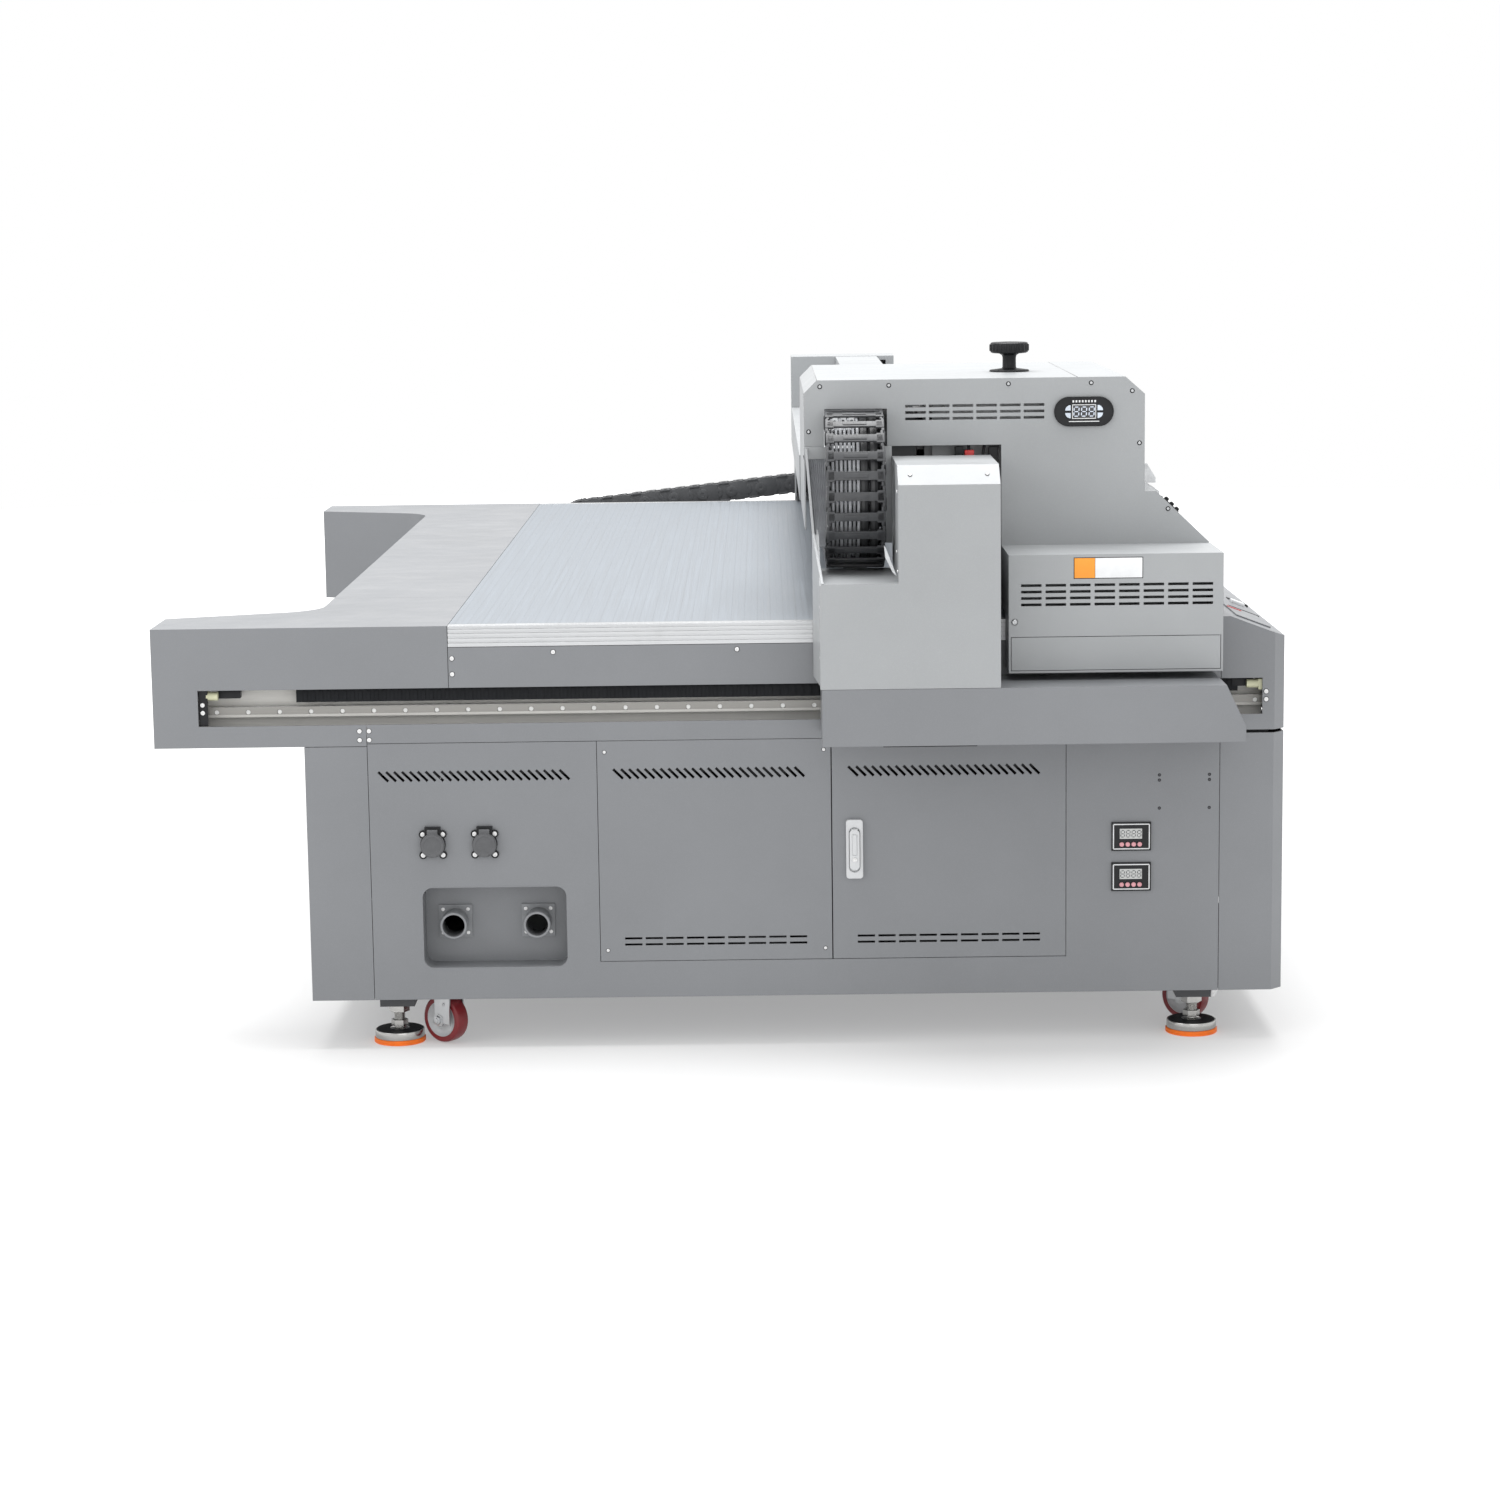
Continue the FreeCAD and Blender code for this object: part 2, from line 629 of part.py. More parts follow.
def rail_buffers():
    near = []
    for start, end, plate in (
        (D.buffer_left, D.buffer_left + D.buffer_long, (90, D.buffer_left)),
        (D.buffer_right - D.buffer_long, D.buffer_right, (D.buffer_right, D.buffer_right + 11)),
    ):
        bumper = rod("X", start, 12, 690, D.buffer_wide, end - start)
        bracket = block(plate, (5, D.beam_front), (679, 699))
        near.append(fuse(bumper, bracket))
    return group(*near, *[mirror(part) for part in near])


def drive_racks():
    near = block((D.rack_left, D.rack_right), (D.rack_front, D.beam_front),
                 (D.rack_low, D.beam_high))
    return group(near, mirror(near))


# ---------------------------------------------------------------- fittings of the cabinet

def duct_spigots():
    half = D.duct_flange / 2
    parts = []
    for mid in (D.duct_left, D.duct_right):
        flange = block((mid - half, mid + half), (D.recess_deep - 4, D.recess_deep),
                       (D.duct_low - half, D.duct_low + half))
        tube = rod("Y", mid, D.recess_deep - D.duct_reach, D.duct_low, D.duct_wide, D.duct_reach)
        bore = rod("Y", mid, 0, D.duct_low, D.duct_bore, D.recess_deep + 2)
        parts.append(cut(fuse(flange, tube), bore))
    return group(*parts)


def power_sockets():
    """Round flange with four ears and a bridge above that holds the lid's hinge."""
    parts = []
    front = 0 - D.socket_thick
    for mid in (D.socket_left, D.socket_right):
        ears = [
            rod("Y", mid + side, front + 3, D.socket_mid + level, 15, D.socket_thick - 3)
            for side in (-19, 19) for level in (-20, 20)
        ]
        body = fuse(
            rod("Y", mid, front, D.socket_mid, D.socket_wide - 4, D.socket_thick),
            block((mid - 15, mid + 15), (front, 0),
                  (D.socket_mid, D.socket_mid + D.socket_high / 2)),
            rod("Y", mid, 0, D.socket_mid, 36, 40),
            *ears)
        parts.append(cut(body, rod("Y", mid, -9, D.socket_mid, 26, 30)))
    return group(*parts)


def socket_lid(mid):
    top = D.socket_mid + D.lid_high / 2
    out = 0 - D.socket_thick - D.lid_thick
    cover = rod("Y", mid, out, D.socket_mid, D.lid_high, D.lid_thick - 0.5)
    tab = block((mid - 10, mid + 10), (out + 1, out + 6), (D.socket_mid + 15, top + 4))
    barrel = rod("X", mid - 10, out + 4, top + 4, 7, 20)
    return fuse(cover, tab, barrel)


def panel_meters():
    parts = []
    for low in (D.meter_up, D.meter_down):
        bezel = block((D.meter_left, D.meter_right), (0 - D.meter_proud, 0),
                      (low, low + D.meter_high))
        body = block((D.meter_left + 5, D.meter_right - 5), (0, D.meter_body),
                     (low + 5, low + D.meter_high - 5))
        glass = block((D.meter_left + 15, D.meter_right - 16.5), (-10, 2 - D.meter_proud),
                      (low + 22.5, low + 43))
        wells = [
            rod("Y", mid, -10, low + 12.5, D.key_wide + 1.2, 9)
            for mid in key_places()
        ]
        parts.append(cut(fuse(bezel, body), glass, *wells))
    return group(*parts)


def key_places():
    return [D.meter_left + 19.2 + D.key_pitch * step for step in range(4)]


def meter_keys(low):
    return group(*[
        rod("Y", mid, 0 - D.meter_proud - 1.5, low + 12.5, D.key_wide, D.meter_proud - 1.5)
        for mid in key_places()
    ])


def pill(mid, half, low, high, front, back, length):
    """An upright bar with round ends, seen from the near side."""
    return rounded(
        prism("XZ_Plane", [(mid - half, low), (mid + half, low), (mid + half, high),
                           (mid - half, high)], front, back),
        half - 0.5, lambda spot: abs(spot.y + length / 2) < 1)


def handle_plate():
    plate = rounded(
        prism("XZ_Plane", [
            (D.handle_left, D.handle_low), (D.handle_right, D.handle_low),
            (D.handle_right, D.handle_high), (D.handle_left, D.handle_high),
        ], 0 - D.handle_proud, 0),
        6, lambda mid: abs(mid.y + DIMENSIONS["handle_proud"] / 2) < 1)
    mid = (D.handle_left + D.handle_right) / 2
    return cut(plate, pill(mid, D.lever_wide / 2 + 1, D.handle_low + 12, D.handle_high - 15,
                           -9, -3, 6))


def handle_lever():
    mid = (D.handle_left + D.handle_right) / 2
    half = D.lever_wide / 2
    blade = pill(mid, half, D.handle_low + 17, D.handle_high - 18, -13, -4, 9)
    return fuse(blade, rod("X", mid - 6, -9, D.handle_high - 21, 9, 12))


def levelling_feet():
    parts = []
    for x in (D.foot_left, D.foot_right):
        for y in (D.foot_in, D.body_deep - D.foot_in):
            disc = rod("Z", x, y, D.pad_high, D.disc_wide, 9)
            crown = doc.addObject("Part::Cone", "Crown")
            crown.setExpression("Radius1", (D.disc_wide / 2 - 4).text)
            crown.setExpression("Radius2", (D.stud_wide / 2 + 6).text)
            crown.setExpression("Height", (D.disc_high - D.pad_high - 9).text)
            put(crown, x, y, D.pad_high + 9)
            stud = rod("Z", x, y, D.pad_high + 4, D.stud_wide, D.block_low - D.pad_high - 4)
            nuts = []
            for low in (D.disc_high + 4, D.block_low - D.nut_high):
                nut = doc.addObject("Part::Prism", "Nut")
                nut.Polygon = 6
                nut.setExpression("Circumradius", (D.nut_wide / 2).text)
                nut.setExpression("Height", D.nut_high.text)
                put(nut, x, y, low)
                nuts.append(nut)
            parts.append(fuse(disc, crown, stud, *nuts))
    return group(*parts)


def levelling_pads():
    return group(*[
        rod("Z", x, y, 0, D.pad_wide, D.pad_high)
        for x in (D.foot_left, D.foot_right)
        for y in (D.foot_in, D.body_deep - D.foot_in)
    ])


# ---------------------------------------------------------------- casters

TRAIL = {"near_left": (-0.8, 0.6), "near_right": (0.8, -0.6),
         "far_left": (-0.8, -0.6), "far_right": (0.8, 0.6)}


def caster_axis(name):
    near = name.startswith("near")
    if name.endswith("left"):
        x, inset = D.caster_left, D.caster_left_in
    else:
        x, inset = D.caster_right, D.caster_right_in
    return x, inset if near else D.body_deep - inset


def turned(obj, name):
    """Points a caster part, drawn trailing along +X at the axis, where its trail points."""
    x, y = caster_axis(name)
    aim = TRAIL[name]
    whole = doc.addObject("Part::Compound", "Turned")
    whole.Links = [obj]
    angle = math.degrees(math.atan2(aim[1], aim[0]))
    whole.Placement = FreeCAD.Placement(V(), FreeCAD.Rotation(V(0, 0, 1), angle))
    for axis, size in zip("xyz", (along(x), across(y), Size.of(0))):
        whole.setExpression("Placement.Base." + axis, size.text)
    return whole


def local_block(x, y, z):
    obj = block(x, y, z)
    for axis, pair in zip("xyz", (x, y, z)):
        obj.setExpression("Placement.Base." + axis, Size.of(pair[0]).text)
    return obj


def local_rod(axis, x, y, z, wide, length):
    obj = rod(axis, x, y, z, wide, length)
    for name, size in zip("xyz", (x, y, z)):
        obj.setExpression("Placement.Base." + name, Size.of(size).text)
    return obj


def caster_fork(name):
    axle = D.wheel_clear + D.wheel_wide / 2
    half = D.fork_gap / 2
    deck = D.fork_top - 8
    head = local_rod("Z", 0, 0, deck, D.swivel_wide, 8)
    roof = local_block((-22, 30), (0 - half - D.fork_plate, half + D.fork_plate),
                       (deck, deck + 4))
    parts = [head, roof]
    for start in (0 - half - D.fork_plate, half):
        parts.append(local_block((-8, 30), (start, start + D.fork_plate), (axle - 6, deck + 4)))
        parts.append(local_rod("Y", D.caster_trail, start, axle, 26, D.fork_plate))
    parts.append(local_rod("Y", D.caster_trail, 0 - half - D.fork_plate, axle, D.axle_wide,
                           D.fork_gap + D.fork_plate * 2))
    return turned(fuse(*parts), name)


def caster_wheel(name):
    axle = D.wheel_clear + D.wheel_wide / 2
    half = D.wheel_thick / 2
    wheel = cut(
        local_rod("Y", D.caster_trail, 0 - half, axle, D.wheel_wide, D.wheel_thick),
        local_rod("Y", D.caster_trail, 0 - half - 1, axle, D.wheel_bore, D.wheel_thick + 2),
        local_rod("Y", D.caster_trail, 0 - half - 1, axle, 54, 5),
        local_rod("Y", D.caster_trail, half - 4, axle, 54, 5),
    )
    boss = cut(
        local_rod("Y", D.caster_trail, 0 - half - 1, axle, 26, D.wheel_thick + 2),
        local_rod("Y", D.caster_trail, 0 - half - 2, axle, D.wheel_bore, D.wheel_thick + 4),
    )
    return turned(fuse(wheel, boss), name)


# ---------------------------------------------------------------- gantry

def skirt():
    out = 0 - D.gantry_out
    shell = [
        (D.gantry_left, D.skirt_low), (D.skirt_end, D.skirt_low), (D.skirt_end, D.skirt_break),
        (D.skirt_corner, D.skirt_high), (D.gantry_left, D.skirt_high),
    ]
    outer = prism("XZ_Plane", shell, out, 0 - D.side_clear)
    thick = D.sheet
    inner = prism("XZ_Plane", [
        (D.gantry_left + thick, D.skirt_low + thick), (D.skirt_end - thick, D.skirt_low + thick),
        (D.skirt_end - thick, D.skirt_break), (D.skirt_corner - 2, D.skirt_high - thick),
        (D.gantry_left + thick, D.skirt_high - thick),
    ], out + thick, 5)
    port = block((D.portal_left - 3, D.portal_right + 3), (0 - D.leg_out - 3, 0),
                 (D.skirt_high - 10, D.skirt_high + 5))
    return cut(outer, inner, port)


def side_profile(top, reach, front_bevel):
    """Outline, in Y and Z, of a housing that hangs outside the body and reaches in over it."""
    out = 0 - D.gantry_out
    step = 0 - D.side_clear
    points = [(out, D.skirt_high + 0.5), (step, D.skirt_high + 0.5), (step, D.over_bed),
              (reach, D.over_bed), (reach, top)]
    if front_bevel:
        points += [(out + D.tower_bevel_in, top), (out, top - D.tower_bevel_down)]
    else:
        points += [(out, top)]
    return points


def hollow_profile(top, reach, front_bevel):
    """The inside of side_profile, one sheet in, open at the back and below."""
    thick = D.sheet
    out = thick - D.gantry_out
    step = 0 - D.side_clear
    points = [(out, D.skirt_high - 5), (step + 3, D.skirt_high - 5), (step + 3, D.over_bed),
              (reach + 5, D.over_bed), (reach + 5, top - thick)]
    if front_bevel:
        points += [(out + D.tower_bevel_in - 1, top - thick),
                   (out, top - D.tower_bevel_down - 2)]
    else:
        points += [(out, top - thick)]
    return points


def near_drive_housing():
    thick = D.sheet
    tower = prism("YZ_Plane", side_profile(D.tower_high, D.tower_meet, True),
                  D.tower_left, D.tower_right)
    shelf = prism("YZ_Plane", side_profile(D.shelf_high, D.tower_meet, False),
                  D.gantry_left, D.tower_left)
    cheek = prism("YZ_Plane", [
        (0 - D.gantry_out, D.skirt_high + 0.5), (0 - D.side_clear, D.skirt_high + 0.5),
        (0 - D.side_clear, D.over_bed), (D.cap_front - 4, D.cap_left_low),
        (-10, D.cap_left_low), (0 - D.gantry_out, D.shelf_high - 2),
    ], D.gantry_left - D.cheek_thick, D.gantry_left)
    tower_room = prism("YZ_Plane", hollow_profile(D.tower_high, D.tower_meet, True),
                       D.tower_left + thick, D.tower_right - thick)
    shelf_room = prism("YZ_Plane", hollow_profile(D.shelf_high, D.tower_meet, False),
                       D.gantry_left + thick, D.tower_left + thick + 1)
    return cut(fuse(tower, shelf, cheek), tower_room, shelf_room)


def ink_cabinet():
    thick = D.sheet
    out = 0 - D.box_out
    step = 0 - D.side_clear
    back = D.cap_front
    outer = prism("YZ_Plane", [
        (out, D.box_low), (step, D.box_low), (step, D.over_bed), (back, D.over_bed),
        (back, D.box_high), (out, D.box_high),
    ], D.box_left, D.gantry_right)
    inner = prism("YZ_Plane", [
        (out + thick, D.box_low + thick), (step - thick, D.box_low + thick),
        (step - thick, D.over_bed + thick), (back - thick, D.over_bed + thick),
        (back - thick, D.box_high - thick), (out + thick, D.box_high - thick),
    ], D.box_left + thick, D.gantry_right - thick)
    doorway = block((D.box_left + 4, D.gantry_right - 4), (out - 1, out + thick + 1),
                    (D.box_low + 4, D.flap_high))
    slots = []
    for level in range(4):
        slots += row_of_slots(Size.of(1640), 857 + D.vent_rise * level, 8, Size.of(45.5),
                              Size.of(38), D.vent_high, out - 1, thick + 2)
    keyhole = rod("Y", 1628, out - 1, 825, 12, thick + 2)
    return cut(outer, inner, doorway, keyhole, *slots)


def ink_flap():
    out = 0 - D.box_out
    x = (D.box_left + 5, D.gantry_right - 5)
    z = (D.box_low + 5, D.flap_high - 1)
    skin = block(x, (out, out + 2), z)
    lips = [
        block((x[0], x[0] + 2), (out, out + 12), z),
        block((x[1] - 2, x[1]), (out, out + 12), z),
        block(x, (out, out + 12), (z[0], z[0] + 2)),
    ]
    return fuse(skin, *lips)


def cap_section(inset):
    """Outline, in X and Z, of the end cap, one inset in from its outside."""
    return [
        (D.cap_left + inset, D.cap_left_low), (D.cap_left + inset, D.cap_high - D.cap_bevel),
        (D.cap_left + D.cap_bevel, D.cap_high - inset), (D.cap_slope_start, D.cap_high - inset),
        (D.cap_right - inset, D.cap_shoulder), (D.cap_right - inset, D.cap_step - inset),
        (D.cap_step_right - inset * 0.4, D.cap_step - inset),
        (D.cap_wing - inset, D.cap_wing_high - inset), (D.cap_wing - inset, D.cap_wing_low),
        (D.gate_right, D.cap_wing_low), (D.gate_right, D.cap_left_low),
    ]


def cap_end_cover():
    """End panel and side walls of the cap; the top is a cover of its own."""
    thick = D.sheet
    outer = prism("XZ_Plane", cap_section(0), D.cap_front, D.cap_back)
    inner = prism("XZ_Plane", cap_section(thick), D.cap_front + thick, D.cap_back + 1)
    lid = prism("XZ_Plane", roof_section(), D.cap_front + thick, D.cap_back + 1)
    under = block((D.cap_left - 1, D.gate_right), (D.cap_front - 1, D.cap_front + thick + 1),
                  (D.cap_left_low - 1, D.cap_edge))
    floor = block((D.cap_left + thick, D.cap_wing - thick), (D.cap_front + thick, D.cap_back + 1),
                  (D.cap_wing_low - 1, D.cap_left_low + 5))
    notch = block((D.notch_left, D.notch_right), (D.cap_front - 1, D.cap_front + thick + 1),
                  (D.cap_edge - 1, D.notch_high))
    slots = []
    for level in range(3):
        slots += row_of_slots(Size.of(1435), 1193 + D.vent_rise * level, 6, Size.of(45),
                              Size.of(39), D.vent_high, D.cap_front - 1, thick + 2)
    return cut(outer, inner, lid, under, floor, notch, *slots)


def roof_section():
    """Outline, in X and Z, of all that lies above the inside of the cap's top sheet."""
    gap = 0.3
    thick = D.sheet
    return [
        (D.cap_left - 1, D.cap_high - D.cap_bevel - gap),
        (D.cap_left + thick, D.cap_high - D.cap_bevel - gap),
        (D.cap_left + D.cap_bevel + 1, D.cap_high - thick - gap),
        (D.cap_slope_start - 1, D.cap_high - thick - gap),
        (D.cap_right - thick, D.cap_shoulder - gap), (D.cap_right + 1, D.cap_shoulder - gap),
        (D.cap_right + 1, D.cap_high + 9), (D.cap_left - 1, D.cap_high + 9),
    ]


def cap_top_cover():
    """Bent top sheet of the cap, with both bevels."""
    thick = D.sheet
    band = prism("XZ_Plane", [
        (D.cap_left, D.cap_high - D.cap_bevel), (D.cap_left + D.cap_bevel, D.cap_high),
        (D.cap_slope_start, D.cap_high), (D.cap_right, D.cap_shoulder),
        (D.cap_right - thick, D.cap_shoulder), (D.cap_slope_start - 1, D.cap_high - thick),
        (D.cap_left + D.cap_bevel + 1, D.cap_high - thick),
        (D.cap_left + thick, D.cap_high - D.cap_bevel),
    ], D.cap_front + thick, D.cap_back)
    bore = rod("Z", D.knob_mid, D.knob_in, D.cap_high - 10, D.knob_bore, 20)
    return cut(band, bore)


def lock_knob():
    collar = rod("Z", D.knob_mid, D.knob_in, D.cap_high + 0.2, D.knob_wide, 4)
    shaft = rod("Z", D.knob_mid, D.knob_in, D.cap_high - 12, D.knob_shaft,
                D.knob_low - D.cap_high + 14)
    head = rod("Z", D.knob_mid, D.knob_in, D.knob_low, D.knob_wide, D.knob_high - D.knob_low)
    return fuse(collar, shaft, head)


def display_bezel():
    half = D.display_tall / 2
    reach = D.display_wide / 2 - half
    plate = fuse(
        block((D.display_mid - reach, D.display_mid + reach), (D.cap_front - 6, D.cap_front),
              (D.display_high - half, D.display_high + half)),
        rod("Y", D.display_mid - reach, D.cap_front - 6, D.display_high, D.display_tall, 6),
        rod("Y", D.display_mid + reach, D.cap_front - 6, D.display_high, D.display_tall, 6),
    )
    glass = block((D.display_mid - 22, D.display_mid + 22), (D.cap_front - 9, D.cap_front - 4),
                  (D.display_high - 13, D.display_high + 13))
    wells = [
        display_key(side, level, 0.5, D.cap_front - 9, D.cap_front - 1)
        for side in (-1, 1) for level in (-1, 1)
    ]
    return cut(plate, glass, *wells)


def display_key(side, level, grow, front, back):
    """A quarter of a disc whose corner is next to the display's window."""
    x = D.display_mid + (25.5 - grow) * side
    z = D.display_high + (2.2 - grow) * level
    disc = rod("Y", x, front, z, 20.6 + 4 * grow, back - front)
    beside = (x - 30, x) if side > 0 else (x, x + 30)
    past = (z - 30, z) if level > 0 else (z, z + 30)
    deep = (front - 1, back + 1)
    return cut(disc, block(beside, deep, (z - 30, z + 30)), block((x - 30, x + 30), deep, past))


def display_keys():
    return group(*[
        display_key(side, level, 0, D.cap_front - 7.5, D.cap_front - 3)
        for side in (-1, 1) for level in (-1, 1)
    ])


def gantry_beam():
    """Welded portal: a box beam over the bed with a leg outside each side of the body."""
    wall = D.tube_wall
    beam = cut(
        block((D.beam_left, D.beam_right), (130, 2640), (D.portal_low, D.portal_high)),
        block((D.beam_left + wall, D.beam_right - wall), (140, 2630),
              (D.portal_low + wall, D.portal_high - wall)),
        block((D.beam_left + 20, D.beam_right - 20), (300, 2500),
              (D.portal_low - 1, D.portal_low + wall + 1)),
    )
    parts = [beam]
    for foot, leg in (((0 - D.leg_in, 130), (0 - D.leg_out, 0 - D.leg_in)),
                      ((2640, D.body_deep + D.leg_in), (D.body_deep + D.leg_in, 2870))):
        parts.append(block((D.portal_left, D.portal_right), foot, (D.portal_low, D.foot_high)))
        parts.append(block((D.portal_left, D.portal_right), leg, (640, D.foot_high)))
    return fuse(*parts)


def gantry_slides():
    """Rail blocks and the plates that carry the portal's legs."""
    plate = block((1290, 1990), (0 - D.leg_in, 20.9), (638, 697))
    half = D.rail_wide / 2 + 0.5
    blocks = []
    for left in (1330, 1860):
        blocks.append(cut(
            block((left, left + 77), (20.9, 47), (633, 674)),
            block((left - 1, left + 78), (D.beam_front - D.rail_tall - 0.5, 50),
                  (D.rail_mid - half, D.rail_mid + half)),
        ))
    near = fuse(plate, *blocks)
    return group(near, mirror(near))


def beam_cover():
    """Bent cover over the beam, with the ledge that carries the carriage's cables."""
    thick = D.sheet
    return prism("XZ_Plane", [
        (D.ledge_left, D.cap_left_low), (D.ledge_left + thick, D.cap_left_low),
        (D.ledge_left + thick, D.ledge_high - thick), (D.roof_left + thick, D.ledge_high - thick),
        (D.roof_left + thick, D.roof_high - thick), (D.roof_right - thick, D.roof_high - thick),
        (D.roof_right - thick, D.roof_high - 12), (D.roof_right, D.roof_high - 12),
        (D.roof_right, D.roof_high), (D.roof_left, D.roof_high),
        (D.roof_left, D.ledge_high), (D.ledge_left, D.ledge_high),
    ], D.cap_back + 0.5, D.far_box_in - 0.5)


def far_end_housing():
    """Casing of the gantry's far end: long box, tower and the panel that closes the beam."""
    thick = D.sheet
    tower = prism("YZ_Plane", side_profile(D.tower_high, D.tower_in, True),
                  D.cap_left + 7, D.tower_right)
    long_box = prism("YZ_Plane", side_profile(D.box_high, D.tower_in, False),
                     D.tower_right, D.gantry_right)
    tower_room = prism("YZ_Plane", hollow_profile(D.tower_high, D.tower_in, True),
                       D.cap_left + 7 + thick, D.tower_right - thick)
    long_room = prism("YZ_Plane", hollow_profile(D.box_high, D.tower_in, False),
                      D.tower_right - thick - 1, D.gantry_right - thick)
    side = mirror(cut(fuse(tower, long_box), tower_room, long_room))
    panel = cut(
        block((D.ledge_left, D.far_box_right), (D.far_box_in, D.far_box_out),
              (D.cap_left_low, D.roof_high + 1)),
        block((D.ledge_left + thick, D.far_box_right - thick),
              (D.far_box_in + thick, D.far_box_out - thick),
              (D.cap_left_low - 1, D.roof_high + 1 - thick)),
        block((D.beam_left - 4, D.beam_right + 30), (D.far_box_in - 1, D.far_box_in + thick + 1),
              (D.cap_left_low - 1, D.portal_high + 6)),
    )
    joined = fuse(side, panel)
    mouth = block((D.cap_left, D.cap_left + 15), (D.drag_in - 4, D.drag_out + 4), (760, 900))
    passage = block((D.cap_left + 15, D.far_box_right + 1), (2636, D.far_box_out + 15),
                    (D.portal_low - 8, D.foot_high + 8))
    return cut(joined, mouth, passage)


def carriage_rails():
    parts = []
    for low in (D.guide_low, D.guide_high):
        parts.append(block((D.beam_right, D.beam_right + D.guide_thick), (170, 2555),
                           (low, low + D.guide_wide)))
    return group(*parts)


def print_carriage():
    thick = D.sheet
    wall = D.carriage_left + D.carriage_plate
    plate = block((D.carriage_left, wall), (170, 680), (1005, 1185))
    casing = cut(
        block((wall, D.carriage_right), (D.carriage_in, D.carriage_out),
              (D.carriage_low, D.carriage_high)),
        block((wall + thick, D.carriage_right - thick),
              (D.carriage_in + thick, D.carriage_out - thick),
              (D.carriage_low - 1, D.carriage_high - thick)),
    )
    runners = []
    for low in (D.guide_low, D.guide_high):
        for start in (200, 590):
            runners.append(cut(
                block((D.carriage_left - 13, D.carriage_left), (start, start + 60),
                      (low - 12, low + D.guide_wide + 12)),
                block((D.beam_right - 1, D.beam_right + D.guide_thick + 0.5),
                      (start - 1, start + 61), (low - 0.5, low + D.guide_wide + 0.5)),
            ))
    return fuse(plate, casing, *runners)


def print_heads():
    parts = [block((1500, 1856), (236, 614), (900, 908))]
    for column in range(3):
        for line in range(2):
            x = 1535 + column * 110
            y = 262 + line * 180
            parts.append(block((x, x + 60), (y, y + 140), (D.head_low, 985)))
    return fuse(*parts)


def uv_lamps():
    parts = []
    for start in (158, 692 - DIMENSIONS["lamp_deep"]):
        parts.append(block((1500, 1856), (start, start + D.lamp_deep),
                           (D.lamp_low, D.lamp_high)))
    bar = block((1500, 1530), (228, 622), (940, 960))
    return fuse(*parts, bar)


def ring_half(x_or_y, mid, level, outer, inner, start, end):
    """Half of a flat ring: the bend of a cable chain."""
    length = Size.of(end) - start
    if x_or_y == "X":
        ring = cut(rod("X", start, mid, level, outer, length),
                   rod("X", start - 1, mid, level, inner, length + 2))
        return cut(ring, block((start - 2, end + 2), (mid, mid + outer),
                               (level - outer, level + outer)))
    ring = cut(rod("Y", mid, start, level, outer, length),
               rod("Y", mid, start - 1, level, inner, length + 2))
    return cut(ring, block((mid, mid + outer), (start - 2, end + 2),
                           (level - outer, level + outer)))


def carriage_cable_chain():
    """Chain from the carriage's cap, bent round outside it and back in under the gantry."""
    outer = D.chain_high - D.chain_low
    level = (D.chain_high + D.chain_low) / 2
    x = (D.chain_left, D.chain_right)
    bend = ring_half("X", D.chain_mid, level, outer, outer - D.chain_thick * 2, *x)
    upper = block(x, (D.chain_mid, D.chain_inside), (D.chain_high - D.chain_thick, D.chain_high))
    lower = block(x, (D.chain_mid, D.chain_tail), (D.chain_low, D.chain_low + D.chain_thick))
    return fuse(bend, upper, lower)


def gantry_cable_chain():
    """Chain beside the far side of the body: sloped upper run, bend and level lower run."""
    y = (D.drag_in, D.drag_out)
    thick = D.drag_thick
    upper = prism("XZ_Plane", [
        (D.drag_bend, D.drag_dip - thick), (D.drag_start, D.drag_top - thick),
        (D.drag_end, D.drag_top - thick), (D.drag_end, D.drag_top), (D.drag_start, D.drag_top),
        (D.drag_bend, D.drag_dip),
    ], *y)
    outer = D.drag_dip - D.drag_low
    bend = ring_half("Y", D.drag_bend, D.drag_low + outer / 2, outer, outer - thick * 2, *y)
    lower = block((D.drag_bend, D.drag_fixed), y, (D.drag_low, D.drag_low + thick))
    return fuse(upper, bend, lower)


def console_panel():
    """Black inlay along the console's slope."""
    rise = D.bed_top - D.console_edge
    slope = rise.value / (D.body_long - D.console_ridge).value
    near = D.console_ridge + D.inlay_in
    far = D.body_long - D.inlay_in
    top = D.bed_top - D.inlay_in * slope + 0.05
    low = D.console_edge + D.inlay_in * slope + 0.05
    lift = D.inlay_thick
    return prism("XZ_Plane", [
        (near, top), (far, low), (far + lift * slope, low + lift), (near + lift * slope, top + lift),
    ], D.inlay_start, D.inlay_end)


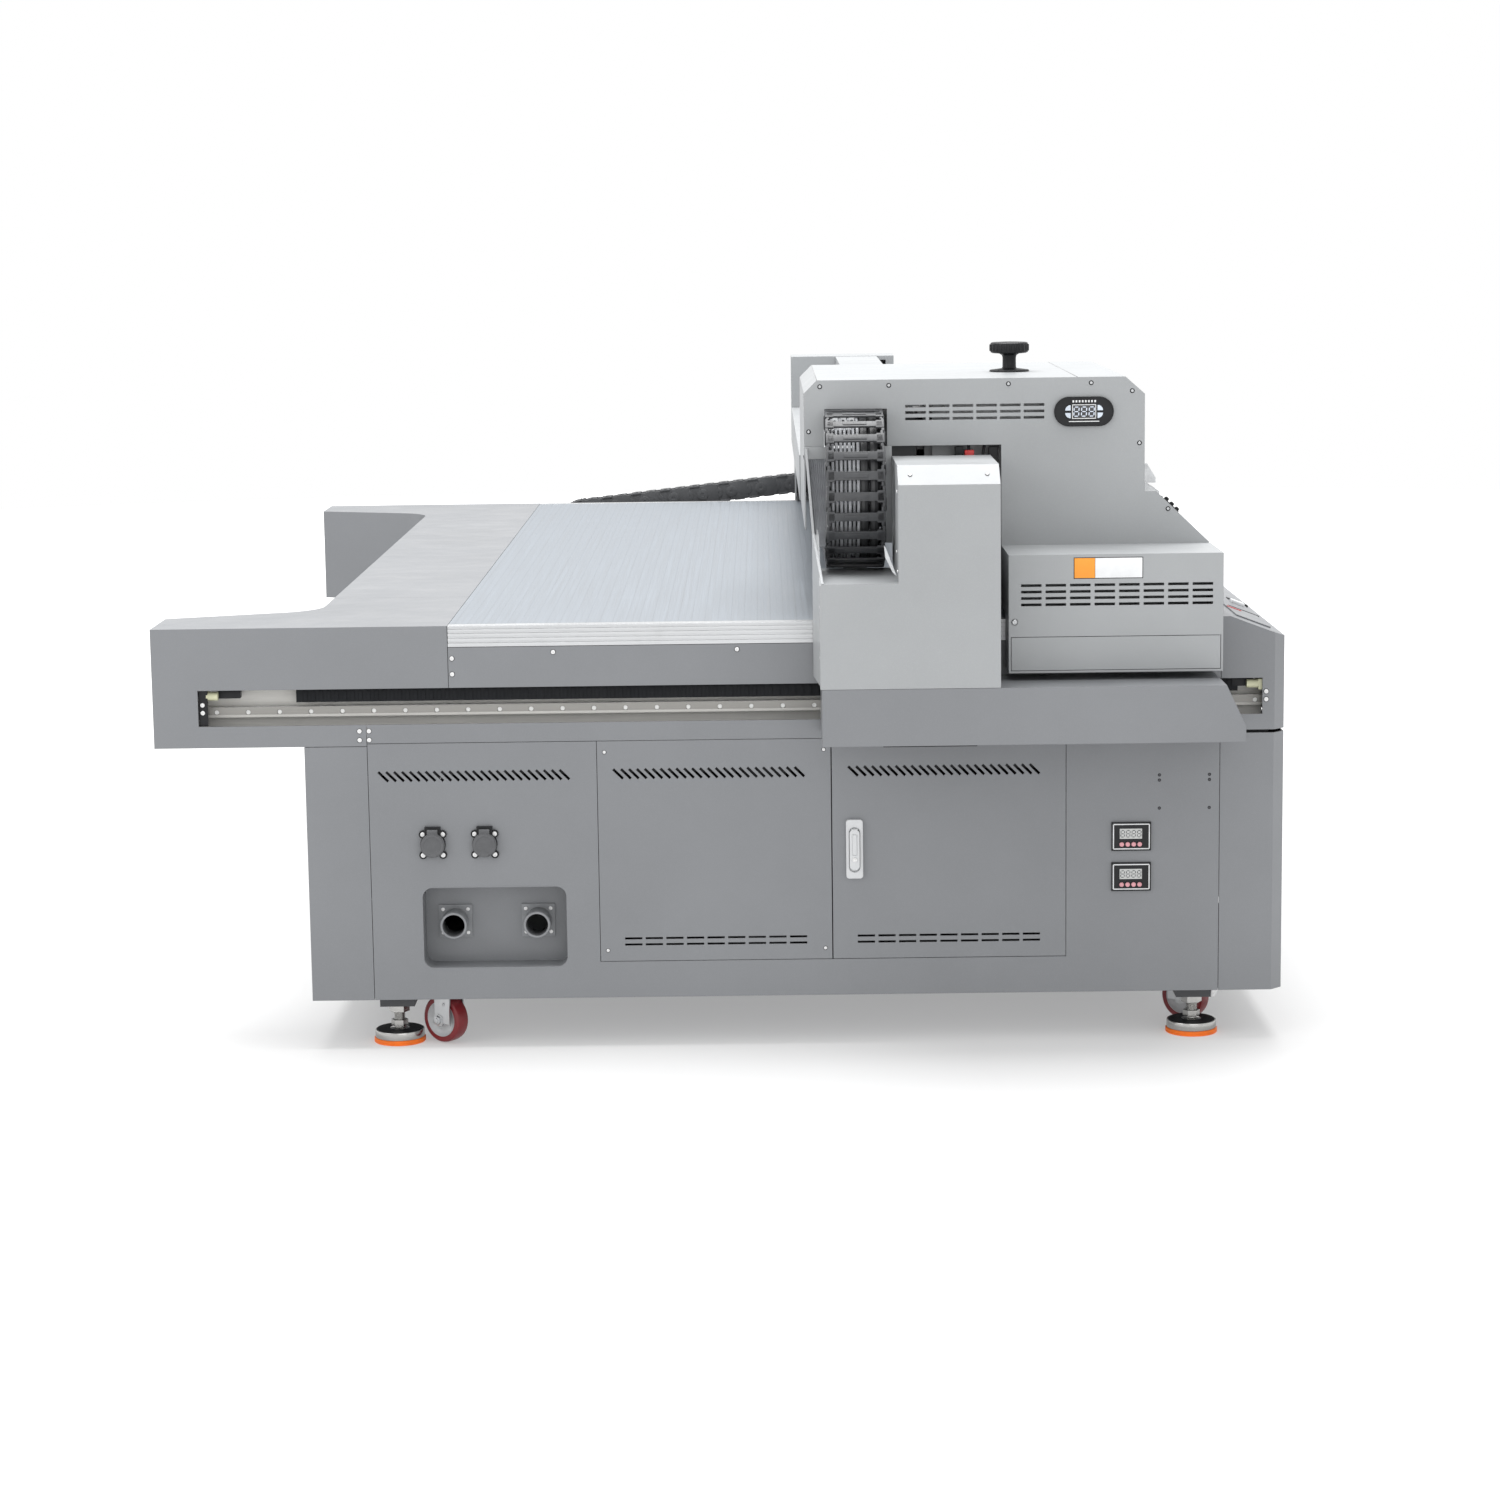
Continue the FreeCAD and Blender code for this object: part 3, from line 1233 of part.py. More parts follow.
def build():
    node("base_frame", base_frame())
    node("base_pan", base_pan())
    node("left_end_cover", left_end_cover())
    node("right_end_cover", right_end_cover())
    node("near_side_panel", near_side_panel())
    node("near_access_panel", near_access_panel())
    node("near_door", near_door())
    node("far_side_panel", far_side_panel())
    node("vacuum_blower", vacuum_blower())
    near_arm = node("near_arm_cover", near_arm_cover())
    node("far_arm_cover", mirror(near_arm))
    node("left_top_cover", left_top_cover())
    node("bed_table", bed_table())
    node("bed_edge_profiles", bed_edge_profiles())
    node("bed_side_covers", bed_side_covers())
    node("console_cover", console_cover())
    node("console_panel", console_panel())
    node("rail_beams", rail_beams())
    node("linear_rails", linear_rails())
    node("rail_bolts", rail_bolts())
    node("rail_buffers", rail_buffers())
    node("drive_racks", drive_racks())
    node("duct_spigots", duct_spigots())
    node("power_sockets", power_sockets())
    node("socket_lid_left", socket_lid(D.socket_left))
    node("socket_lid_right", socket_lid(D.socket_right))
    node("panel_meters", panel_meters())
    node("meter_keys_upper", meter_keys(D.meter_up))
    node("meter_keys_lower", meter_keys(D.meter_down))
    node("handle_plate", handle_plate())
    node("handle_lever", handle_lever())
    node("levelling_feet", levelling_feet())
    node("levelling_pads", levelling_pads())
    for name in TRAIL:
        node("caster_fork_" + name, caster_fork(name))
        node("caster_wheel_" + name, caster_wheel(name))
    near_skirt = skirt()
    node("gantry_skirts", group(near_skirt, mirror(near_skirt)))
    node("near_drive_housing", near_drive_housing())
    node("far_end_housing", far_end_housing())
    node("ink_cabinet", ink_cabinet())
    node("ink_flap", ink_flap())
    node("cap_end_cover", cap_end_cover())
    node("cap_top_cover", cap_top_cover())
    node("lock_knob", lock_knob())
    node("display_bezel", display_bezel())
    node("display_keys", display_keys())
    node("gantry_beam", gantry_beam())
    node("gantry_slides", gantry_slides())
    node("beam_cover", beam_cover())
    node("carriage_rails", carriage_rails())
    node("print_carriage", print_carriage())
    node("print_heads", print_heads())
    node("uv_lamps", uv_lamps())
    node("carriage_cable_chain", carriage_cable_chain())
    node("gantry_cable_chain", gantry_cable_chain())


build()
doc.recompute()
faulty = [obj.Label for obj in doc.Objects if "Invalid" in obj.State or "Error" in obj.State]
if faulty:
    raise SystemExit(f"failed objects: {faulty}")
for obj in NODES:
    if obj.Shape.isNull() or not obj.Shape.isValid() or not obj.Shape.Solids:
        raise SystemExit(f"bad shape: {obj.Label}")
os.makedirs("parts", exist_ok=True)
for obj in NODES:
    obj.Shape.exportStep(f"parts/{obj.Label}.step")
    print(obj.Label, len(obj.Shape.Solids), round(obj.Shape.Volume))
print(len(NODES), "nodes")
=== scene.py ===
import json
import math

import bmesh
import bpy
from mathutils import Matrix, Vector


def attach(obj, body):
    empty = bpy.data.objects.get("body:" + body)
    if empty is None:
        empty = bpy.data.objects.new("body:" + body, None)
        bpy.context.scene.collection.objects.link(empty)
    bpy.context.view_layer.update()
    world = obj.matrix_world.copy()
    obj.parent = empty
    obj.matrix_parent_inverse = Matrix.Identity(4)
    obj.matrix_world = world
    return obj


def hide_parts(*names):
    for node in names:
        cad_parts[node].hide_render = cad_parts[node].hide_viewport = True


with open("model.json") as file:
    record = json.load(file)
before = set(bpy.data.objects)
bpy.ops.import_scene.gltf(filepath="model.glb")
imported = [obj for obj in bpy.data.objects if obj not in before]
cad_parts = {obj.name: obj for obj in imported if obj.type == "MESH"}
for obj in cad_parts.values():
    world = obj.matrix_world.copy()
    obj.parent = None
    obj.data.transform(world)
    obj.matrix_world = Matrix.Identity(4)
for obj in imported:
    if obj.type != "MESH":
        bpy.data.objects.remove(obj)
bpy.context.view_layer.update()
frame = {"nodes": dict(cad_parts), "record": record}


# ---------------------------------------------------------------- places
# Places are written in millimetres as the machine is measured: X from the loading end,
# Y from the near side of the body, Z from the floor. The frame's origin is in the middle.

BODY_WIDE = 2148
BODY_DEEP = 2767
CAP_FACE = 100          # near face of the gantry's cap
INK_FACE = -95          # near face of the ink cabinet
FAR_FACE = 2957         # far face of the far end housing

NEAR = (0, -1, 0)
FAR = (0, 1, 0)
UP = (0, 0, 1)
LEFT = (-1, 0, 0)
RIGHT = (1, 0, 0)


def at(x, y, z):
    return Vector(((x - BODY_WIDE / 2) / 1000.0, (y - BODY_DEEP / 2) / 1000.0, z / 1000.0))


def mm(value):
    return value / 1000.0


# ---------------------------------------------------------------- materials

MAT = {}


def new_material(name, **values):
    mat = bpy.data.materials.new(name)
    mat.use_nodes = True
    tree = mat.node_tree
    tree.nodes.clear()
    out = add(tree, "OutputMaterial")
    bsdf = add(tree, "BsdfPrincipled", **values)
    tree.links.new(bsdf.outputs["BSDF"], out.inputs["Surface"])
    MAT[name] = mat
    return tree, bsdf


def add(tree, kind, **values):
    """A shader node with inputs set; an underscore in a name stands for a space."""
    node = tree.nodes.new("ShaderNode" + kind)
    for name, value in values.items():
        node.inputs[name.replace("_", " ")].default_value = value
    return node


def coords(tree):
    return add(tree, "TexCoord").outputs["Object"]


def noise(tree, scale, detail=2.0, rough=0.5, stretch=None):
    tex = add(tree, "TexNoise", Scale=scale, Detail=detail, Roughness=rough)
    source = coords(tree)
    if stretch:
        mapping = add(tree, "Mapping", Scale=stretch)
        tree.links.new(source, mapping.inputs["Vector"])
        source = mapping.outputs["Vector"]
    tree.links.new(source, tex.inputs["Vector"])
    return tex.outputs["Fac"]


def remap(tree, source, low, high, start=0.0, end=1.0):
    made = add(tree, "MapRange", From_Min=start, From_Max=end, To_Min=low, To_Max=high)
    tree.links.new(source, made.inputs["Value"])
    return made.outputs["Result"]


def shade(colour, factor, lift=0.0):
    return tuple(min(1.0, c * factor + lift) for c in colour)


def mix_colour(tree, factor, first, second):
    made = add(tree, "Mix")
    made.data_type = "RGBA"
    for socket, value in (("A", first), ("B", second)):
        target = next(s for s in made.inputs if s.name == socket and s.type == "RGBA")
        if isinstance(value, tuple):
            target.default_value = (*value[:3], 1.0)
        else:
            tree.links.new(value, target)
    tree.links.new(factor, made.inputs["Factor"])
    return next(s for s in made.outputs if s.type == "RGBA")


def rounded_normal(tree, radius):
    """Light catches the folded or moulded edges as if they had a small radius."""
    bevel = add(tree, "Bevel", Radius=radius)
    bevel.samples = 4
    return bevel.outputs["Normal"]


def edge_highlight_mask(tree, radius):
    """1 near a sharp edge and 0 on the flats; it places the painted edge highlights of paint()
    and plastic().
    """
    geometry = add(tree, "NewGeometry")
    dot = add(tree, "VectorMath")
    dot.operation = "DOT_PRODUCT"
    tree.links.new(rounded_normal(tree, radius), dot.inputs[0])
    tree.links.new(geometry.outputs["Normal"], dot.inputs[1])
    return remap(tree, dot.outputs["Value"], 1.0, 0.0, 0.72, 0.995)


def bumped(tree, bsdf, height, strength, distance, radius):
    """Gives the surface relief from a height, on normals rounded by a radius."""
    bump = add(tree, "Bump", Strength=strength, Distance=distance)
    tree.links.new(height, bump.inputs["Height"])
    tree.links.new(rounded_normal(tree, radius), bump.inputs["Normal"])
    tree.links.new(bump.outputs["Normal"], bsdf.inputs["Normal"])


def paint(name, colour, rough=0.45, grain=1400.0, strength=0.28, edge=1.12, radius=0.0016):
    """Powder coat: fine orange peel, faint clouding, slight shine, and a painted highlight that
    lightens the folds.
    """
    tree, bsdf = new_material(name, Specular_IOR_Level=0.42)
    cloud = noise(tree, 2.4, 4.0, 0.6)
    tone = mix_colour(tree, remap(tree, cloud, 0.0, 1.0, 0.3, 0.7), shade(colour, 0.95),
                      shade(colour, 1.05))
    speck = noise(tree, 700.0, 1.0, 0.5)
    tone = mix_colour(tree, remap(tree, speck, 0.0, 0.22, 0.5, 0.8), tone, shade(colour, 1.3))
    # painted highlight: a lighter copy of the colour, scaled by the edge factor, along every fold
    tone = mix_colour(tree, remap(tree, edge_highlight_mask(tree, radius), 0.0, 0.55), tone,
                      shade(colour, edge, 0.03))
    tree.links.new(tone, bsdf.inputs["Base Color"])
    smudge = noise(tree, 9.0, 5.0, 0.65)
    tree.links.new(remap(tree, smudge, rough - 0.06, rough + 0.1, 0.3, 0.7),
                   bsdf.inputs["Roughness"])
    bumped(tree, bsdf, noise(tree, grain, 3.0, 0.55), strength, 0.00012, radius)


def metal(name, colour, rough=0.3, stretch=(1.0, 1.0, 1.0), scale=60.0, strength=0.2,
          metallic=1.0, tint=0.85, radius=0.0006):
    """Drawn, ground or plated metal: streaks in the colour, the shine and the surface."""
    tree, bsdf = new_material(name, Metallic=metallic)
    streak = noise(tree, scale, 6.0, 0.7, stretch)
    tone = mix_colour(tree, remap(tree, streak, 0.0, 1.0, 0.3, 0.7), shade(colour, tint), colour)
    stain = noise(tree, 14.0, 5.0, 0.7)
    tone = mix_colour(tree, remap(tree, stain, 0.0, 0.35, 0.55, 0.8), tone, shade(colour, 0.7))
    tree.links.new(tone, bsdf.inputs["Base Color"])
    tree.links.new(remap(tree, streak, rough - 0.08, rough + 0.12, 0.3, 0.7),
                   bsdf.inputs["Roughness"])
    bumped(tree, bsdf, streak, strength, 0.00008, radius)


def plastic(name, colour, rough=0.5, grain=900.0, strength=0.25, spread=0.12, radius=0.0007,
            specular=0.5):
    """Moulded plastic or rubber: fine grain, slight mottling, and soft edges with a painted
    highlight along them.
    """
    tree, bsdf = new_material(name, Specular_IOR_Level=specular)
    mottle = noise(tree, 40.0, 4.0, 0.6)
    tone = mix_colour(tree, remap(tree, mottle, 0.0, 1.0, 0.3, 0.7), shade(colour, 1 - spread),
                      shade(colour, 1 + spread))
    # painted highlight: moulded edges are lightened whatever light falls on them
    tone = mix_colour(tree, remap(tree, edge_highlight_mask(tree, radius), 0.0, 0.35), tone,
                      shade(colour, 1.4, 0.02))
    tree.links.new(tone, bsdf.inputs["Base Color"])
    tree.links.new(remap(tree, noise(tree, 25.0, 5.0, 0.7), rough - 0.08, rough + 0.12, 0.3, 0.7),
                   bsdf.inputs["Roughness"])
    bumped(tree, bsdf, noise(tree, grain, 2.0, 0.5), strength, 0.0001, radius)


def glow(name, colour, power):
    """Lit segment of a display, slightly uneven across its face."""
    tree, bsdf = new_material(name, Emission_Strength=power, Roughness=0.3)
    tone = mix_colour(tree, noise(tree, 500.0, 2.0, 0.5), shade(colour, 0.8), colour)
    for socket in ("Base Color", "Emission Color"):
        tree.links.new(tone, bsdf.inputs[socket])


def window(name, colour, rough=0.08):
    """Tinted display window with a faint haze and fine scratches."""
    tree, bsdf = new_material(name, Coat_Weight=0.4)
    haze = noise(tree, 120.0, 6.0, 0.7, (1.0, 1.0, 6.0))
    tone = mix_colour(tree, haze, shade(colour, 0.75), colour)
    tree.links.new(tone, bsdf.inputs["Base Color"])
    tree.links.new(remap(tree, haze, rough, rough + 0.12, 0.35, 0.7), bsdf.inputs["Roughness"])


def calculate(tree, operation, first, second):
    """A maths node on a socket and either a number or another socket."""
    made = add(tree, "Math")
    made.operation = operation
    tree.links.new(first, made.inputs[0])
    if isinstance(second, float):
        made.inputs[1].default_value = second
    else:
        tree.links.new(second, made.inputs[1])
    return made.outputs[0]


def stripes(tree, axis, pitch, width, soft):
    """1 on thin lines across an axis, repeated at a pitch in metres."""
    split = add(tree, "SeparateXYZ")
    tree.links.new(coords(tree), split.inputs["Vector"])
    wave = calculate(tree, "PINGPONG", calculate(tree, "DIVIDE", split.outputs[axis], pitch), 0.5)
    half = width / pitch / 2
    return remap(tree, wave, 1.0, 0.0, half * (1 - soft), half * (1 + soft))


def bed_surface(name):
    """Anodised bed: extrusion lines along its depth, rows of fine suction holes."""
    tree, bsdf = new_material(name, Metallic=0.35)
    base = (0.238, 0.262, 0.29)
    drawn = noise(tree, 5.0, 6.0, 0.65, (30.0, 0.35, 1.0))
    tone = mix_colour(tree, remap(tree, drawn, 0.0, 1.0, 0.3, 0.7), shade(base, 0.93),
                      shade(base, 1.06))
    lines = stripes(tree, "X", 0.0125, 0.0011, 0.3)
    tone = mix_colour(tree, remap(tree, lines, 0.0, 0.3), tone, shade(base, 0.72))
    across, deep = (stripes(tree, axis, 0.025, 0.0022, 0.2) for axis in "XY")
    holes = calculate(tree, "MULTIPLY", across, deep)
    tone = mix_colour(tree, remap(tree, holes, 0.0, 0.85), tone, (0.03, 0.033, 0.037))
    wipes = noise(tree, 3.5, 6.0, 0.7, (1.0, 2.6, 1.0))
    tone = mix_colour(tree, remap(tree, wipes, 0.0, 0.2, 0.55, 0.8), tone, shade(base, 1.25))
    tree.links.new(tone, bsdf.inputs["Base Color"])
    tree.links.new(remap(tree, drawn, 0.34, 0.5, 0.3, 0.7), bsdf.inputs["Roughness"])
    bumped(tree, bsdf, drawn, 0.12, 0.0001, 0.001)


paint("cabinet_paint", (0.196, 0.203, 0.214), 0.34)
paint("frame_paint", (0.06, 0.062, 0.066), 0.5)
paint("housing_paint", (0.325, 0.336, 0.344), 0.38)
paint("top_cover_paint", (0.33, 0.341, 0.349), 0.38)
paint("carriage_paint", (0.47, 0.48, 0.49), 0.4)
bed_surface("bed_anodised")
metal("bare_aluminium", (0.58, 0.59, 0.6), 0.36, (0.6, 30.0, 60.0), 8.0, 0.3)
metal("rail_beam_steel", (0.66, 0.65, 0.62), 0.6, (1.0, 8.0, 20.0), 9.0, 0.3, 0.12)
metal("ground_steel", (0.36, 0.35, 0.33), 0.45, (1.0, 30.0, 30.0), 30.0, 0.2, 0.35)
metal("bright_bolts", (0.85, 0.85, 0.84), 0.4, (1, 1, 1), 200.0, 0.1, 0.4)
plastic("rack_black", (0.009, 0.01, 0.012), 0.55, 900.0, 0.2, 0.1, 0.0007, 0.18)
plastic("lid_grey", (0.085, 0.087, 0.092), 0.5)
metal("black_oxide_screws", (0.1, 0.1, 0.105), 0.4)
metal("steel_screws", (0.8, 0.8, 0.8), 0.38, (1, 1, 1), 200.0, 0.1, 0.5)
plastic("yellow_buffer", (0.5, 0.5, 0.34), 0.5)
plastic("black_plastic", (0.013, 0.0135, 0.015), 0.42, 900.0, 0.25, 0.12, 0.0007, 0.25)
plastic("duct_grey", (0.215, 0.222, 0.232), 0.45)
plastic("duct_lining", (0.1, 0.102, 0.108), 0.5)
plastic("pink_keys", (0.62, 0.3, 0.33), 0.45)
paint("handle_grey", (0.56, 0.57, 0.58), 0.35)
metal("plated_feet", (0.5, 0.495, 0.48), 0.2, (1, 1, 12), 30.0, 0.15)
plastic("orange_pads", (0.9, 0.17, 0.006), 0.5, 500.0, 0.4)
metal("zinc_forks", (0.55, 0.56, 0.57), 0.34, (1, 1, 1), 40.0)
plastic("red_polyurethane", (0.17, 0.009, 0.013), 0.35, 300.0, 0.2)
plastic("display_keys", (0.6, 0.66, 0.74), 0.4)
metal("head_metal", (0.4, 0.41, 0.42), 0.35, (1, 1, 20), 12.0)
paint("lamp_metal", (0.035, 0.035, 0.038), 0.45)
paint("blower_casting", (0.16, 0.17, 0.18), 0.55, 500.0, 0.6)
plastic("chain_nylon", (0.055, 0.057, 0.061), 0.45, 600.0, 0.25)
plastic("cable_black", (0.03, 0.031, 0.033), 0.45, 1200.0, 0.15)
plastic("cable_grey", (0.38, 0.39, 0.41), 0.45, 1200.0, 0.15)
plastic("apron_grey", (0.27, 0.28, 0.3), 0.5, 1200.0, 0.15)
plastic("hub_grey", (0.45, 0.46, 0.47), 0.4)
plastic("connector_white", (0.66, 0.67, 0.68), 0.4)
plastic("signal_red", (0.55, 0.02, 0.02), 0.4)
metal("brass_parts", (0.6, 0.42, 0.16), 0.3)
plastic("sticker_orange", (0.85, 0.3, 0.02), 0.35, 2000.0, 0.05, 0.05)
plastic("sticker_white", (0.75, 0.76, 0.77), 0.35, 2000.0, 0.05, 0.05)
window("window_dark", (0.012, 0.013, 0.016))
window("lcd_grey", (0.56, 0.57, 0.56), 0.25)
glow("digit_white", (0.62, 0.68, 0.78), 0.25)
plastic("digit_dark", (0.05, 0.055, 0.06), 0.4)
window("lamp_glass", (0.1, 0.06, 0.2), 0.05)

# nodes whose finish differs from the other parts of their slot
FINISH = {
    "rail_bolts": "bright_bolts", "drive_racks": "rack_black", "socket_lid_left": "lid_grey",
    "socket_lid_right": "lid_grey",
}

for part in frame["record"]["subparts"]:
    mesh = frame["nodes"][part["node"]].data
    mesh.materials.clear()
    mesh.materials.append(MAT[FINISH.get(part["node"], part["material_slot"])])


# ---------------------------------------------------------------- mesh tools

def circle(count):
    """Cosine and sine of evenly spaced angles, once round."""
    angles = [2 * math.pi * step / count for step in range(count)]
    return [(math.cos(angle), math.sin(angle)) for angle in angles]


class Form:
    """A mesh under construction, in metres in the machine's frame."""

    def __init__(self):
        self.bm = bmesh.new()

    def box(self, low, high, round_by=0.0, turn=None):
        """A box between two corners, given by at(), with rounded edges."""
        size = high - low
        made = bmesh.ops.create_cube(self.bm, size=1.0)
        verts = made["verts"]
        bmesh.ops.scale(self.bm, vec=size, verts=verts)
        if round_by > 0:
            edges = {e for v in verts for e in v.link_edges}
            done = bmesh.ops.bevel(self.bm, geom=list(edges), offset=round_by, segments=2,
                                   affect="EDGES", profile=0.6)
            verts = self._joined_to(done["faces"][0].verts[0])
        if turn is not None:
            bmesh.ops.rotate(self.bm, cent=(0, 0, 0), matrix=turn, verts=verts)
        bmesh.ops.translate(self.bm, vec=(low + high) / 2, verts=verts)
        return verts

    def _joined_to(self, start):
        """Every vertex that edges connect to this one."""
        seen = {start}
        stack = [start]
        while stack:
            here = stack.pop()
            for edge in here.link_edges:
                other = edge.other_vert(here)
                if other not in seen:
                    seen.add(other)
                    stack.append(other)
        return list(seen)

    def lathe(self, profile, centre, axis, steps=32, ring=False):
        """A turned piece: profile is (radius, height) pairs in millimetres along axis.

        A ring's profile closes on itself and leaves a hole; any other is capped.
        """
        rings = []
        turn = Vector((0, 0, 1)).rotation_difference(Vector(axis)).to_matrix()
        for radius, height in profile:
            if radius < 1e-6:
                rings.append([self.bm.verts.new(centre + turn @ Vector((0, 0, mm(height))))])
                continue
            rings.append([self.bm.verts.new(
                centre + turn @ Vector((mm(radius) * cos, mm(radius) * sin, mm(height))))
                for cos, sin in circle(steps)])
        pairs = list(zip(rings, rings[1:]))
        if ring:
            pairs.append((rings[-1], rings[0]))
        for first, second in pairs:
            for step in range(steps):
                after = (step + 1) % steps
                corners = []
                for row, index in ((first, step), (first, after), (second, after),
                                   (second, step)):
                    vert = row[index] if len(row) > 1 else row[0]
                    if vert not in corners:
                        corners.append(vert)
                if len(corners) > 2:
                    self.bm.faces.new(corners)
        if ring:
            return
        for row, flip in ((rings[0], True), (rings[-1], False)):
            if len(row) > 1:
                self.bm.faces.new(list(reversed(row)) if flip else row)

    def tube(self, path, radius, steps=10):
        """A round rod or cable along a list of points."""
        rings = []
        up = Vector((0, 0, 1))
        for index, spot in enumerate(path):
            before = path[max(0, index - 1)]
            after = path[min(len(path) - 1, index + 1)]
            along = (after - before).normalized()
            if abs(along.dot(up)) > 0.98:
                up = Vector((1, 0, 0))
            side = along.cross(up).normalized()
            up = side.cross(along).normalized()
            rings.append([self.bm.verts.new(spot + (side * cos + up * sin) * radius)
                          for cos, sin in circle(steps)])
        for first, second in zip(rings, rings[1:]):
            for step in range(steps):
                after = (step + 1) % steps
                self.bm.faces.new((first[step], first[after], second[after], second[step]))
        self.bm.faces.new(list(reversed(rings[0])))
        self.bm.faces.new(rings[-1])

    def slab(self, outline, normal, thick):
        """A flat plate: outline is a list of points, pushed along normal by thick metres."""
        base = [self.bm.verts.new(p) for p in outline]
        top = [self.bm.verts.new(p + normal * thick) for p in outline]
        count = len(outline)
        self.bm.faces.new(list(reversed(base)))
        self.bm.faces.new(top)
        for index in range(count):
            after = (index + 1) % count
            self.bm.faces.new((base[index], base[after], top[after], top[index]))

    def done(self, name, material, body, smooth=35.0, replace=()):
        bmesh.ops.recalc_face_normals(self.bm, faces=self.bm.faces)
        mesh = bpy.data.meshes.new(name)
        self.bm.to_mesh(mesh)
        self.bm.free()
        obj = bpy.data.objects.new(name, mesh)
        bpy.context.scene.collection.objects.link(obj)
        mesh.materials.append(MAT[material])
        for polygon in mesh.polygons:
            polygon.use_smooth = True
        mesh.set_sharp_from_angle(angle=math.radians(smooth))
        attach(obj, body)
        if replace:
            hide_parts(*replace)


def screw(form, spot, axis, radius, height):
    """A low round screw head with a socket in it."""
    socket = radius * 0.45
    form.lathe([(radius, -0.4), (radius, height * 0.45), (radius * 0.86, height * 0.85),
                (radius * 0.6, height), (socket, height), (socket, height * 0.35),
                (0.0, height * 0.3)], spot, axis, 16)


def mirrored(half):
    """A turned profile that repeats itself on the other side of its middle."""
    return half + [(radius, -height) for radius, height in reversed(half)]


def four_screws(form, x, y, z, dx, dz, radius, height):
    """Screws at the corners of a rectangle that faces the near side."""
    for side in (x - dx, x + dx):
        for level in (z - dz, z + dz):
            screw(form, at(side, y, level), NEAR, radius, height)


def place_box(form, centre, half, round_by, turn):
    """A box about a point, turned, with half its size given."""
    verts = form.box(-half, half, round_by, turn)
    bmesh.ops.translate(form.bm, vec=centre, verts=verts)


def blocks(name, material, body, round_by, corners):
    """One piece of boxes: corners are (x, y, z) low and (x, y, z) high in one row each."""
    form = Form()
    for x0, y0, z0, x1, y1, z1 in corners:
        form.box(at(x0, y0, z0), at(x1, y1, z1), round_by)
    form.done(name, material, body)


# ---------------------------------------------------------------- cable chains

def walk(runs, step):
    """Evenly spaced (point, direction) pairs along straight runs and arcs."""
    dense = []
    for run in runs:
        if dense:
            run = run[1:]
        dense += run
    lengths = [0.0]
    for first, second in zip(dense, dense[1:]):
        lengths.append(lengths[-1] + (second - first).length)
    stations = []
    count = int(lengths[-1] / step)
    index = 0
    for number in range(count + 1):
        goal = number * step
        while index < len(dense) - 2 and lengths[index + 1] < goal:
            index += 1
        span = max(lengths[index + 1] - lengths[index], 1e-9)
        share = (goal - lengths[index]) / span
        spot = dense[index].lerp(dense[index + 1], share)
        stations.append((spot, (dense[index + 1] - dense[index]).normalized()))
    return stations


def half_turn(centre, outward, radius, steps=48):
    """Points from above a centre round to below it, by way of its outward side."""
    points = []
    for step in range(steps + 1):
        angle = math.radians(90 - 180 * step / steps)
        points.append(centre + Vector(outward) * (radius * math.cos(angle))
                      + Vector(UP) * (radius * math.sin(angle)))
    return points


def chain_links(name, body, runs, across, width, height, pitch, replace):
    """Nylon links: overlapping side plates with bosses, and a crossbar above and below."""
    form = Form()
    across = Vector(across)
    plate = 0.0062
    for number, (spot, along) in enumerate(walk(runs, pitch)):
        out = across.cross(along).normalized()
        turn = Matrix((along, across, out)).transposed()

        def place(low, high, round_by):
            middle = (Vector(low) + Vector(high)) / 2
            half = (Vector(high) - Vector(low)) / 2
            place_box(form, spot + turn @ middle, half, round_by, turn)

        for side in (-1, 1):
            shift = 0.0 if number % 2 else 0.0022
            edge = side * (width / 2 - shift)
            inner = side * (width / 2 - shift - plate)
            low, high = sorted((edge, inner))
            place((-pitch * 0.6, low, -height * 0.47), (pitch * 0.6, high, height * 0.47), 0.003)
            form.lathe([(height * 300, 0.0), (height * 300, 1.0), (height * 240, 1.7),
                        (height * 90, 1.7), (height * 80, 0.9), (0.0, 0.9)],
                       spot + along * (pitch * 0.5) + across * edge, across * side, 14)
        for level in (-1, 1):
            bar = sorted((level * height * 0.5, level * height * 0.4))
            place((-pitch * 0.25, -width / 2 + plate * 0.5, bar[0]),
                  (pitch * 0.25, width / 2 - plate * 0.5, bar[1]), 0.0012)
            rib = sorted((level * height * 0.5, level * height * 0.53))
            place((-pitch * 0.12, -width * 0.2, rib[0]), (pitch * 0.12, width * 0.2, rib[1]),
                  0.0006)
            for side in (-1, 1):
                clip = sorted((side * (width / 2 - 0.0005), side * (width / 2 - 0.016)))
                place((-pitch * 0.34, clip[0], bar[0]), (pitch * 0.34, clip[1], bar[1]),
                      0.0012)
    form.done(name, "chain_nylon", body, replace=replace)


def chain_cables(name, material, body, runs, across, places):
    """Cables that lie in a chain: places are (across, out, radius) offsets in millimetres."""
    form = Form()
    across = Vector(across)
    for aside, outward, radius in places:
        path = []
        for number, (spot, along) in enumerate(walk(runs, 0.018)):
            out = across.cross(along).normalized()
            stray = mm(1.2) * math.sin(number * 0.7 + aside)
            path.append(spot + across * mm(aside) + out * (mm(outward) + stray))
        form.tube(path, mm(radius), 8)
    form.done(name, material, body)


